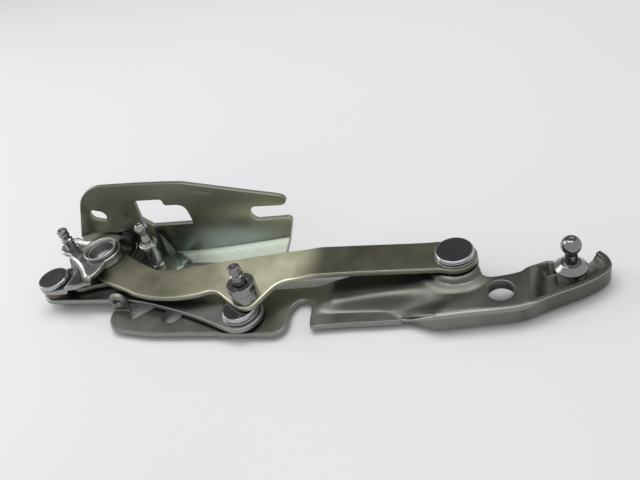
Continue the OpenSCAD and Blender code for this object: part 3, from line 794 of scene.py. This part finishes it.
def bridge_surf(q):
    """Level pad round the main pivot that sweeps down to the ear in one smooth slope."""
    x, y = q[:, 0], q[:, 1]
    sd = signed_to(JL, q) + 1.6
    wide = 3.6 + 3.6 * sm((x + 22.0) / 8.0) * sm((4.0 - x) / 6.0)
    t = np.clip(sd / wide, 0.0, 1.0)
    fall = (1.0 - (1.0 - t) ** 1.9) * sm((sd + 0.6) / 2.6)
    r1 = np.hypot(x - CTL[0], y - CTL[1])
    z = 20.5 - 7.0 * np.maximum(fall, 1.0 - sm((r1 - 10.3) / 3.0))
    # the part of the slope that the main link swings under stays above the link
    z = np.maximum(z, 13.5 + 4.0 * sm((x + 16.0) / 4.0) * sm((r1 - 10.3) / 2.0))
    # the far edge of the pad rolls up, and so does its rim round the hollow rivet
    db = np.interp(x, BACK[:, 0], BACK[:, 1]) - y
    z = z + 0.9 * sm((4.5 - db) / 4.5) * sm((x + 31.0) / 6.0)
    r = np.hypot(x, y)
    back = sm((y - 0.6 * x + 3.0) / 10.0)
    return np.column_stack([x, y, z + 1.1 * sm((16.5 - r) / 5.0) * sm((r - 9.9) / 0.9) * back])


b = Build()
sheet(
    b, bridge_out, [circle(P0, 8.6), circle(S1, 3.05, 40), circle(CTL, 5.02, 40)], bridge_surf,
    re=0.8, rb=0.6, grid=1.8, r=1.2, ratio=2.8, step=0.8, fine=lambda q: np.abs(signed_to(JL, q) + 0.5) < 3.4,
)
# painted shade: the slope and the ear below the level pad are drawn darker, and so is the pad's far-left edge; the
# painted tint lightens the raised rims as a painted highlight
b.finish("pivot_bridge_shell", "root", M_BRIDGE, ["pivot_bridge"],
         painted_light=lambda x, y, z: np.maximum(0.2, 1.30 - 0.88 * sm((21.3 - z) / 1.6) * sm((y + 28.5) / 2.0) - 0.80 * sm((y - 8.5) / 3.0) * sm((-4.0 - x) / 8.0)),
         painted_tint=lambda x, y, z: 0.3 + 0.5 * sm((z - 22.2) / 1.0))

# ------------------------------------------------------------------ main pivot
b = Build()
lathe(b, P0, [(0, 7.0), (9.4, 7.0, 0.5), (9.4, 8.2, 0.3), (8.0, 8.2), (8.0, 22.05), (10.3, 22.05, 0.3), (10.5, 22.75, 0.3), (10.2, 23.0, 0.12), (10.6, 23.3, 0.2), (10.6, 24.3, 0.2),
               (10.35, 24.5, 0.12), (10.05, 24.45, 0.15), (9.3, 22.6, 1.5), (8.4, 19.4, 3.0), (7.9, 16.2, 1.2), (6.6, 15.0, 1.0), (0, 14.8)])
# painted highlight: the top of the hollow rivet's rim is drawn lighter
b.finish("main_pivot_rivet_turned", "root", M_CUP, ["main_pivot_rivet"], painted_light=lambda x, y, z: 0.88 + 0.75 * sm((z - 23.8) / 0.6))
b = Build()
lathe(b, P0, [(8.2, 15.62), (12.2, 15.62, 0.5), (12.2, 17.1, 0.35), (11.75, 17.3, 0.15), (12.1, 17.55, 0.3), (12.1, 18.98, 0.45), (8.2, 18.98)], closed=True)
b.finish("main_pivot_washer_turned", "root", M_WASHER, ["main_pivot_washer"])

# ------------------------------------------------------------------ studs
def grooved(b, c, z, h, r):
    """Spring stud: plain foot, collar, groove and a drilled head."""
    lathe(b, c, [
        (0, z), (r, z), (r, z + h * 0.40, 0.2), (r + 0.35, z + h * 0.44, 0.25), (r + 0.35, z + h * 0.52, 0.25), (r - 0.7, z + h * 0.56, 0.25),
        (r - 0.7, z + h * 0.65, 0.25), (r + 0.05, z + h * 0.69, 0.3), (r + 0.05, z + h * 0.77, 0.2), (r - 0.35, z + h * 0.80, 0.15), (r - 0.35, z + h * 0.83, 0.15),
        (r + 0.05, z + h * 0.86, 0.2), (r + 0.05, z + h - 0.8, 0.35), (r - 0.75, z + h, 0.3), (r * 0.38, z + h, 0.2), (r * 0.30, z + h - 0.8, 0.2), (0, z + h - 0.85),
    ], seg=72)


b = Build()
grooved(b, S1, 22.0, 16.0, 3.25)
lathe(b, S1, [(0, 17.8), (4.4, 17.8, 0.3), (4.4, 19.0, 0.2), (3.0, 19.0), (3.0, 22.2), (0, 22.2)], seg=64)
b.finish("bridge_spring_stud_turned", "root", M_TURNED, ["bridge_spring_stud"])

# painted shade: the sleeve and the stud on the main link are drawn as darker copies of the turned steel
b = Build()
lathe(b, S3, [(3.5, 15.5), (8.0, 15.5, 0.2), (8.0, 21.3, 0.12), (7.72, 21.45, 0.1), (7.72, 21.65, 0.1), (8.0, 21.8, 0.12), (8.0, 25.6, 0.35), (7.6, 26.0, 0.3), (4.3, 26.0, 0.3), (3.9, 25.2, 0.3), (3.5, 25.0)], seg=112, closed=True)
b.finish("link_stud_sleeve_turned", "main_arm", M_TURNED, ["link_stud_sleeve"], painted_light=lambda x, y, z: 0.80 + 0.0 * z)
b = Build()
grooved(b, S3, 26.0, 12.0, 3.5)
lathe(b, S3, [(0, 12.5), (4.0, 12.5, 0.3), (4.0, 15.5), (3.5, 15.5), (3.5, 26.3), (0, 26.3)], seg=64)
b.finish("link_spring_stud_turned", "main_arm", M_TURNED, ["link_spring_stud"], painted_light=lambda x, y, z: 0.72 + 0.0 * z)

b = Build()
lathe(b, S2, [(0, 0.5), (5.2, 0.5, 0.3), (5.2, 2.0, 0.2), (4.0, 2.0), (4.0, 5.0), (5.0, 5.0, 0.2), (4.9, 6.0, 0.5), (4.2, 7.2, 0.8), (4.2, 20.35, 0.2), (2.4, 20.35), (2.4, 11), (0, 11)], seg=80)
# painted light: the pillar is drawn as a much lighter copy of the turned steel
b.finish("strut_stud_pillar_turned", "root", M_TURNED, ["strut_stud_pillar"], painted_light=lambda x, y, z: 1.75 + 0.0 * z)


def ball_profile(z, neck_h, foot_r, d):
    """Neck, ball and small flat on top, from height z."""
    rb, rn = d / 2, 0.31 * d
    rise = math.sqrt(rb * rb - rn * rn)
    zc = z + neck_h + rise
    pts = [(foot_r, z, 0.3), (foot_r - 0.25, z + neck_h * 0.35, 1.2), (rn - 0.1, z + neck_h * 0.8, 1.2), (rn, z + neck_h - 0.15, 0.3)]
    a0, a1 = -math.asin(rise / rb), math.asin((rb - 0.7) / rb)
    for k in range(33):
        a = a0 + (a1 - a0) * k / 32
        pts.append((rb * math.cos(a), zc + rb * math.sin(a)))
    top = zc + rb - 0.7
    return pts + [(1.2, top, 0.2), (0.9, top - 0.35, 0.2), (0, top - 0.35)]


b = Build()
lathe(b, S2, [(0, 12), (2.4, 12), (2.4, 20.4), (5.4, 20.4, 0.25), (5.4, 21.5, 0.15), (6.0, 21.75, 0.35), (6.0, 23.1, 0.4), (5.0, 23.4, 0.2), (4.4, 23.4)] + ball_profile(23.4, 8.4, 3.9, 8.0), seg=80)
# painted light: the collar and shank are drawn much lighter, fading to the plain steel on the ball
b.finish("body_ball_stud_turned", "root", M_TURNED, ["body_ball_stud"], painted_light=lambda x, y, z: 1.75 - 0.75 * sm((z - 23.6) / 1.5))

b = Build()
lathe(b, S4, [(0, -1.4), (4.0, -1.4), (4.0, 3.0), (7.2, 3.0, 0.2), (7.0, 3.9, 0.5), (6.9, 8.2, 0.3), (8.0, 8.3, 0.2), (8.2, 8.7, 0.25), (8.2, 9.5, 0.4), (7.6, 9.95, 0.4), (5.0, 12.3, 0.5), (4.2, 12.4, 0.3)]
      + ball_profile(12.4, 7.2, 3.6, 10.0), seg=96)
# painted light: the stud's base below the flange is drawn much lighter, the ball a little darker
b.finish("lid_ball_stud_turned", "lid_plate", M_TURNED, ["lid_ball_stud"], painted_light=lambda x, y, z: 0.85 + 1.25 * sm((8.3 - z) / 0.5) - 0.1 * sm((z - 15.0) / 3.0))

b = Build()
lathe(b, (12.0, 16.0, 20.0), [(0, -2.9), (2.5, -2.9), (2.5, 0.0), (4.2, 0.05, 0.2), (4.5, 0.8, 0.4), (4.5, 4.6, 0.9), (3.3, 6.1, 0.9), (0, 6.3)], seg=64, axis="y")
b.finish("rubber_buffer_moulded", "root", M_RUBBER, ["rubber_buffer"])

# ------------------------------------------------------------------ main link
back = [(3, 13), (10, 7.5), (17.5, 1.5), (26, -3.5), (37, -9.2), (45, -12.4), (51, -12.6), (58, -11.6), (71.5, -9.2), (84, -7), (102.5, -3.6), (126.5, 0.4), (140, 1.5), (160, 1.8), (203, 1.9), (212, 2.4)]
front = [(-1, -13.5), (5, -18.2), (10, -21.2), (17, -24.2), (28, -28.6), (36, -32.2), (49, -35.5), (64, -36.3), (77, -34.4), (85.5, -31.6), (91, -32.4), (98, -37.4), (106, -43), (111.5, -45), (116, -43), (120, -36.5), (125, -27.8), (130, -24.3), (138, -22.9), (150, -21.7), (172, -20.6), (215, -19.8)]
link_out = cr(back, 5) + arc(LID, 11.6, 84, -100, 30) + cr(front, 5)[::-1] + arc(P0, 13.4, 265, 84, 30)


def link_surf(q):
    x, y = q[:, 0], q[:, 1]
    z = 14.0 + 1.5 * sm((x - 132.5) / 15.5)
    # the sheet is very slightly crowned along its length by the press
    z = z + 0.10 * np.sin(np.clip((x - 20) / 115.0, 0, 1) * math.pi)
    return np.column_stack([x, y, z])


b = Build()
sheet(
    b, link_out, [circle(P0, 10.0), circle(LID, 7.0, 56), circle(S3, 4.0, 40)], link_surf,
    re=0.8, rb=0.5, grid=2.6, r=1.2, fine=lambda q: (q[:, 0] > 128) & (q[:, 0] < 152),
)



# painted light and shade on the main link: darker at the left end, lighter from the middle on, a painted highlight
# just before the jog and much darker past it; the painted tint adds a lighter sheen by the jog
def link_painted_light(x, y, z):
    t = 0.77 + 0.80 * sm((x - 54.0) / 38.0) + 0.20 * np.exp(-((x - 126.0) / 12.0) ** 2)
    return t - 1.22 * sm((x - 136.0) / 15.0) - 0.12 * np.exp(-((x - 4.0) / 16.0) ** 2)


b.finish("main_link_pressing", "main_arm", M_LINK, ["main_link"], painted_light=link_painted_light,
         painted_tint=lambda x, y, z: 0.4 + 0.5 * np.exp(-((x - 124.0) / 16.0) ** 2) - 0.15 * sm((x - 140.0) / 10.0))

# ------------------------------------------------------------------ control link
c_front = [(-15, -29.6), (14, -29.8), (29, -30.4), (49, -34.2), (68, -40), (80, -44.2), (90, -48.2), (100, -52.4)]
c_back = [(-16, -10.6), (-10, -10.4), (20, -10.2), (45, -12.4), (70, -18.6), (92, -26.4), (101, -29.6)]
control_out = arc(CTL, 10.5, 265, 95, 30) + cr(c_back, 5) + arc(CPL, 12.6, 112, -112, 34) + cr(c_front, 5)[::-1]
b = Build()
sheet(b, control_out, [circle(CTL, 7.0, 56), circle(CPL, 5.02, 40)], flat(6.0), re=0.7, rb=0.5, grid=5.0, r=1.0)
b.finish("control_link_pressing", "control_arm", M_DARK, ["control_link"])

# ------------------------------------------------------------------ rivets and rings
def head(b, c, z, h, r, dish=0.12):
    """Flat cold-headed rivet head with a soft rim and a barely hollow top."""
    return [(r - 0.35, z, 0.3), (r, z + 0.4, 0.3), (r, z + h * 0.42, 0.2), (r - 0.28, z + h * 0.5, 0.15), (r, z + h * 0.58, 0.2), (r, z + h - 0.7, 0.6), (r - 0.6, z + h, 0.5), (r - 1.9, z + h - dish * 0.2, 1.5), (0, z + h - dish)]


def rim(c, r):
    """Tone of a rivet head: dark film on top, and a painted highlight along the rim."""
    return lambda x, y, z: 1.0 + 2.3 * sm((np.hypot(x - c[0], y - c[1]) - (r - 1.0)) / 0.5)


b = Build()
lathe(b, CTL, [(0, 1.1), (7.4, 1.1, 0.4), (7.4, 3.0, 0.3), (5.0, 3.0), (5.0, 15.02)] + head(b, CTL, 15.02, 2.98, 9.8), seg=112)
b.finish("control_pivot_rivet_headed", "root", M_RIVET, ["control_pivot_rivet"], painted_light=rim(CTL, 9.8))
b = Build()
lathe(b, CPL, [(0, -2.4), (8.6, -2.4, 0.5), (8.6, -0.42, 0.4), (5.0, -0.42), (5.0, 9.02)] + head(b, CPL, 9.02, 2.98, 9.8), seg=112)
b.finish("coupler_rivet_headed", "control_arm", M_RIVET, ["coupler_rivet"], painted_light=rim(CPL, 9.8))
b = Build()
lathe(b, LID, [(0, 7.4), (7.0, 7.4, 0.4), (7.0, 10.0), (5.0, 10.0), (5.0, 18.02)] + head(b, LID, 18.02, 3.18, 10.2), seg=112)
b.finish("lid_pivot_rivet_headed", "lid_plate", M_RIVET, ["lid_pivot_rivet"], painted_light=rim(LID, 10.2))
b = Build()
lathe(b, CPL, [(5.2, 7.52), (10.4, 7.52, 0.35), (10.4, 8.98, 0.35), (5.2, 8.98)], closed=True)
b.finish("coupler_washer_turned", "control_arm", M_WASHER, ["coupler_washer"])
b = Build()
lathe(b, LID, [(5.2, 17.15), (10.8, 17.15, 0.25), (10.8, 17.98, 0.25), (5.2, 17.98)], closed=True)
b.finish("lid_pivot_washer_turned", "lid_plate", M_WASHER, ["lid_pivot_washer"])
b = Build()
lathe(b, CTL, [(5.05, 4.5), (7.0, 4.5), (7.0, 7.52), (9.0, 7.52, 0.4), (9.0, 11.68, 0.4), (5.05, 11.68)], closed=True)
b.finish("control_pivot_bush_turned", "control_arm", M_BRONZE, ["control_pivot_bush"])

# ------------------------------------------------------------------ lid bracket
WALL = cr([(195.6, -42.55), (201.5, -43.3), (206.0, -44.7), (210.0, -46.1), (214.0, -46.9), (218.5, -46.7), (228, -45.1), (245, -42.8), (255.0, -41.0), (260.5, -38.7), (266, -35.5), (274, -31.2), (283, -26.8), (291, -21.6), (296, -17), (298.5, -12), (297.4, -6), (294.2, -1.4)], 6)
WALL = np.array(WALL)
WALL_S = np.concatenate([[0.0], np.cumsum(np.linalg.norm(np.diff(WALL, axis=0), axis=1))])


def wall_x(s):
    return float(np.interp(s, WALL_S, WALL[:, 0]))


CURL = np.array([(250.0, -17.5), (254.4, -15.6), (258.4, -12.1), (262.4, -8.9), (265.9, -7.1), (268.8, -6.1), (272.0, -6.4), (280.0, -4.6)])
RIDGE = np.array([(140, -31.0), (152, -29.6), (167, -28.6), (178, -27.2), (194, -26.0), (207, -25.0), (216, -26.0), (230, -27.0)], float)
CREASE = np.array([(140, -39.0), (155, -38.0), (167, -37.2), (192, -36.6), (205, -36.4), (215, -38.5), (230, -41.0)], float)


def lid_top(x, y):
    """Height of the lid bracket's upper face over its low face."""
    back = np.clip((y + 43.5) / 9.0, 0.0, 1.0)
    strip = 3.0 + 7.0 * sm((x - 198.0 + 16.0 * back) / (18.0 + 26.0 * back))
    tip = 10.0 - 7.0 * sm((x - 258.2) / 9.4)
    base = np.where(x < 240.0, strip, tip)
    rise = sm((x - 144.5) / 13.0) * (2.4 + 4.5 * np.clip((x - 152.0) / 55.0, 0, 1))
    plateau = np.where(x < 240.0, np.maximum(3.0 + rise, base), base)
    yr = np.interp(x, RIDGE[:, 0], RIDGE[:, 1])
    yc = np.interp(x, CREASE[:, 0], CREASE[:, 1])
    S = sm((y - yc) / (yr - yc))
    z = base + (plateau - base) * S
    r = np.hypot(x - LID[0], y - LID[1])
    boss = 13.0 - 2.1 * sm((r - 12.0) / 3.4) - 0.9 * sm((r - 14.0) / 8.0) - 12.0 * sm((r - 19.0) / 14.0)
    z = np.maximum(z, boss) + 0.18 * np.exp(-((z - boss) / 0.5) ** 2)
    # behind the jog the back edge curls up instead of going down with the floor
    yb = np.interp(x, CURL[:, 0], CURL[:, 1])
    wide = np.interp(x, [254.0, 262.0, 268.0, 272.0], [4.0, 8.0, 6.0, 4.5])
    curl = np.clip((y - (yb - wide)) / (wide + 0.5), 0.0, 1.0) * sm((x - 255.5) / 2.5) * sm((273.0 - x) / 1.2)
    z = z + np.maximum(0.0, 9.9 - z) * curl ** 1.5
    # round the tip the floor rises into the rim like the bowl of a spoon
    near_tip = x > 255.0
    d = np.full(np.shape(x), 99.0)
    if near_tip.any():
        q = np.column_stack([x[near_tip], y[near_tip]])
        d[near_tip] = np.sqrt(((q[:, None, :] - WALL[None, WALL[:, 0] > 250.0][:, :]) ** 2).sum(2).min(1)) - 2.6
    span = 1.6 + 6.6 * sm((x - 284.0) / 8.0) * sm((y + 23.0) / 8.0)
    t = 1.0 - np.clip(d / span, 0.0, 1.0)
    return z + np.maximum(0.0, 9.0 - z) * (1.0 - np.sqrt(np.maximum(0.0, 1.0 - t * t))) * sm((x - 266.0) / 5.0)


def lid_surf(q):
    x, y = q[:, 0], q[:, 1]
    z = lid_top(x, y) - 1.5
    # arm lug: folded up along a straight line
    yb, R = -34.7, 2.2
    lug = (x < 29.5) & (y > yb)
    d = np.where(lug, y - yb, 0.0)
    a = np.minimum(d / R, math.pi / 2)
    yy = np.where(lug, yb + R * np.sin(a), y)
    zz = np.where(lug, 1.5 + R * (1 - np.cos(a)) + np.maximum(0.0, d - R * math.pi / 2), z)
    return np.column_stack([x, yy, zz])


def inner_wall(off, x0=None):
    T = np.gradient(WALL, axis=0)
    T /= np.linalg.norm(T, axis=1)[:, None]
    N = np.column_stack([-T[:, 1], T[:, 0]])
    return [tuple(p) for p in WALL + N * off]


LUG_B, LUG_R = -34.7, 2.2
lug_v = lambda z: LUG_B + LUG_R * math.pi / 2 + (z - 1.5 - LUG_R)
lug_top = lug_v(9.2)
lid_out = (
    [(28.6, LUG_B - 0.6), (30.0, -37.4), (33.4, -41.6), (45.5, -31.0)]
    + cr([(45.5, -31.0), (60, -24.4), (90, -20.5), (120, -18.0), (150, -15.5), (180, -7.0), (206.5, 0.6), (212, 1.8)], 4)
    + arc(LID, 11.8, 100, -14, 20)
    + cr([(234.9, -15.6), (237.4, -18.4), (241, -18.6), (246, -17.8), (254.5, -15.4), (258.4, -12.1), (262.4, -8.9), (265.9, -7.0), (268.8, -6.0), (271.6, -6.3)], 4)
    + cr([(272.6, -6.4), (277.0, -5.0), (283.0, -4.2), (289.0, -3.6), (292.6, -2.6)], 4)
    + inner_wall(2.0)[::-1][2:]
    + cr([(196.0, -42.9), (185, -43.9), (170, -44.9), (158, -45.9), (151.4, -46.6), (148.6, -47.6)], 4)
    + cr([(146.4, -46.4), (145.4, -41), (144.6, -33), (142.6, -28.8), (138.8, -27.0), (135.2, -28.6), (133.0, -32.5), (132.4, -36.5), (132.9, -42), (132.5, -46.8), (130.9, -49.8)], 4)
    + cr([(130.9, -49.8), (128, -51.5), (124.6, -52.2), (95, -52.5)], 4)
    + [(94.6, -52.5), (93.4, -51.9)]
    + cr([(92, -51.9), (70, -52.3), (52, -52.5), (43, -51.8), (34, -50.7), (26.7, -49.7), (23.3, -48.1), (20.6, -45.0), (18.7, -41.8), (17.7, -38.6), (17.5, -36.2), (17.3, LUG_B)], 4)
    + [(17.0, lug_top)]
    + arc((22.8, lug_top), 5.8, 180, 0, 20)
    + [(28.6, lug_top)]
)
b = Build()
lug_hole = circle((22.8, lug_top), 2.6, 40)
sheet(
    b, lid_out, [circle(TIP_HOLE, 6.8, 72), circle(ARM_HOLE, 6.0, 64), circle(CPL, 6.8, 56), circle(LID, 5.05, 40), circle(S4, 4.02, 40), lug_hole], lid_surf,
    re=0.75, rb=0.5, grid=2.6, r=1.0, fine=lambda q: ((q[:, 0] > 140) & (q[:, 0] < 272)) | ((q[:, 0] < 30) & (q[:, 1] > -36.5)),
)
# front flange, which becomes the rim round the tip
s_mid = float(np.interp(259.5, WALL[:, 0], WALL_S))
ribbon(
    b, WALL,
    lambda s: 0.0,
    lambda s: 2.96 + 7.0 * float(sm((wall_x(s) - 198.0) / 18.0)) if s < s_mid else 9.98,
    3.0,
    lambda s: 0.8 + 1.3 * float(sm((wall_x(s) - 200.0) / 10.0)) - 1.55 * float(sm((s - s_mid + 2.0) / 7.0)),
    lambda s: 0.12 + 0.45 * float(sm((s - s_mid) / 4.0)),
)
# drawn collar under the tip hole
lathe(b, TIP_HOLE, [(6.82, 4.1, 0.25), (9.0, 4.1, 0.5), (9.2, 7.3), (6.82, 7.6)], closed=True, seg=72)


# painted light and shade on the lid bracket: slight shading along the arm, darker over the right part, before the jog
# and along the ridge, a painted highlight at the tip's jog and lighter along the front flange; the painted tint lays
# a lighter sheen band on the slope
def lid_painted_light(x, y, z):
    t = 0.94 - 0.10 * np.exp(-((x - 110.0) / 30.0) ** 2) + 0.06 * np.exp(-((x - 40.0) / 22.0) ** 2)
    t = t * (1.0 - 0.34 * sm((x - 148.0) / 12.0)) + 0.25 * np.exp(-((x - 262.0) / 5.0) ** 2)
    t = t - 0.16 * sm((x - 232.0) / 8.0) * sm((259.0 - x) / 3.0)
    t = t - 0.22 * np.exp(-((y + 31.5) / 4.5) ** 2) * sm((x - 156.0) / 10.0) * sm((236.0 - x) / 10.0)
    front = sm((-40.0 - y) / 2.0) * sm((x - 200.0) / 10.0)
    return t + 0.40 * front


b.finish("lid_bracket_pressing", "lid_plate", M_LID, ["lid_bracket"], painted_light=lid_painted_light,
         painted_tint=lambda x, y, z: 0.3 + 0.5 * np.exp(-(((x - 180.0) / 50.0) ** 2 + ((y + 34.0) / 12.0) ** 2)))

# ------------------------------------------------------------------ CAD parts that stay as they are
def dress(node, mat, width=0.00025):
    o = NODES[node]
    o.data.materials.clear()
    o.data.materials.append(mat)
    bv = o.modifiers.new("soft_edge", "BEVEL")
    bv.width = width
    bv.segments = 2
    bv.limit_method = "ANGLE"
    bv.angle_limit = math.radians(40)


for n in ("main_pivot_bush", "coupler_bush", "lid_pivot_bush"):
    dress(n, M_BRONZE)
for n in ("main_pivot_backing_ring", "control_pivot_washer", "lid_stud_lock_ring"):
    dress(n, M_WASHER)

# ------------------------------------------------------------------ stage
FLOOR_Z = (-2.45 - RIM) * 0.001
bpy.ops.mesh.primitive_grid_add(x_subdivisions=8, y_subdivisions=8, size=9.0, location=(0.13, 0.0, FLOOR_Z))
floor = bpy.context.object
floor.name = "floor"
fm = bpy.data.materials.new("floor_pale")
nt, ns, ln, bs = nodes_of(fm)
tc = add(ns, "ShaderNodeTexCoord")
nz = add(ns, "ShaderNodeTexNoise")
nz.inputs["Scale"].default_value = 3.0
ln.new(tc.outputs["Object"], nz.inputs["Vector"])
rp = add(ns, "ShaderNodeValToRGB")
rp.color_ramp.elements[0].color = (0.705, 0.705, 0.71, 1)
rp.color_ramp.elements[1].color = (0.735, 0.735, 0.74, 1)
ln.new(nz.outputs["Fac"], rp.inputs["Fac"])
ln.new(rp.outputs["Color"], bs.inputs["Base Color"])
bs.inputs["Roughness"].default_value = 0.42
bs.inputs["Specular IOR Level"].default_value = 0.25
floor.data.materials.append(fm)

world = bpy.data.worlds.new("studio")
bpy.context.scene.world = world
world.use_nodes = True
nt = world.node_tree
ns, ln = nt.nodes, nt.links
ns.clear()
out = add(ns, "ShaderNodeOutputWorld")
bg = add(ns, "ShaderNodeBackground")
bgc = add(ns, "ShaderNodeBackground")
bgc.inputs["Color"].default_value = (0.80, 0.80, 0.805, 1)
bgc.inputs["Strength"].default_value = 1.0
lp = add(ns, "ShaderNodeLightPath")
mixs = add(ns, "ShaderNodeMixShader")
ln.new(lp.outputs["Is Camera Ray"], mixs.inputs["Fac"])
ln.new(bg.outputs[0], mixs.inputs[1])
ln.new(bgc.outputs[0], mixs.inputs[2])
ln.new(mixs.outputs[0], out.inputs["Surface"])
tcw = add(ns, "ShaderNodeTexCoord")
# dark part of the room, seen only in the metal
dt = add(ns, "ShaderNodeVectorMath", operation="DOT_PRODUCT")
dv = Vector((-0.22, 0.74, 0.60)).normalized()
dt.inputs[1].default_value = dv
ln.new(tcw.outputs["Generated"], dt.inputs[0])
rw = add(ns, "ShaderNodeMapRange", interpolation_type="SMOOTHSTEP")
rw.inputs["From Min"].default_value = 0.62
rw.inputs["From Max"].default_value = 0.90
rw.inputs["To Min"].default_value = 0.74
rw.inputs["To Max"].default_value = 0.22
ln.new(dt.outputs["Value"], rw.inputs["Value"])
ln.new(rw.outputs["Result"], bg.inputs["Strength"])
bg.inputs["Color"].default_value = (0.98, 0.99, 1.0, 1)


def area_light(name, loc, target, sx, sy, power, col=(1, 1, 1)):
    ld = bpy.data.lights.new(name, "AREA")
    ld.shape = "RECTANGLE"
    ld.size, ld.size_y = sx, sy
    ld.energy = power
    ld.color = col
    ob = bpy.data.objects.new(name, ld)
    ob.location = loc
    ob.rotation_mode = "QUATERNION"
    ob.rotation_quaternion = (Vector(target) - Vector(loc)).to_track_quat("-Z", "Y")
    bpy.context.scene.collection.objects.link(ob)
    return ob


area_light("top_soft", (0.05, 0.30, 1.15), (0.12, 0.0, 0.0), 0.9, 0.6, 7.5)
area_light("left_soft", (-0.9, 0.25, 0.55), (0.1, 0.0, 0.0), 0.6, 0.5, 3.0)

# ------------------------------------------------------------------ camera
right = Vector((0.95027, 0.20860, -0.23124))
up = Vector((0.04009, 0.65441, 0.75508))
backw = Vector((0.30884, -0.72680, 0.61350))
cd = bpy.data.cameras.new("photo_view")
cd.sensor_width = 36.0
cd.lens = 36.0 * 650.0 / 640.0
cd.clip_start, cd.clip_end = 0.01, 50.0
cam = bpy.data.objects.new("photo_view", cd)
m = Matrix((right, up, backw)).transposed().to_4x4()
m.translation = Vector((0.2610, -0.2678, 0.2495 - RIM * 0.001))
cam.matrix_world = m
bpy.context.scene.collection.objects.link(cam)
bpy.context.scene.camera = cam
bpy.context.scene.view_settings.view_transform = "Standard"
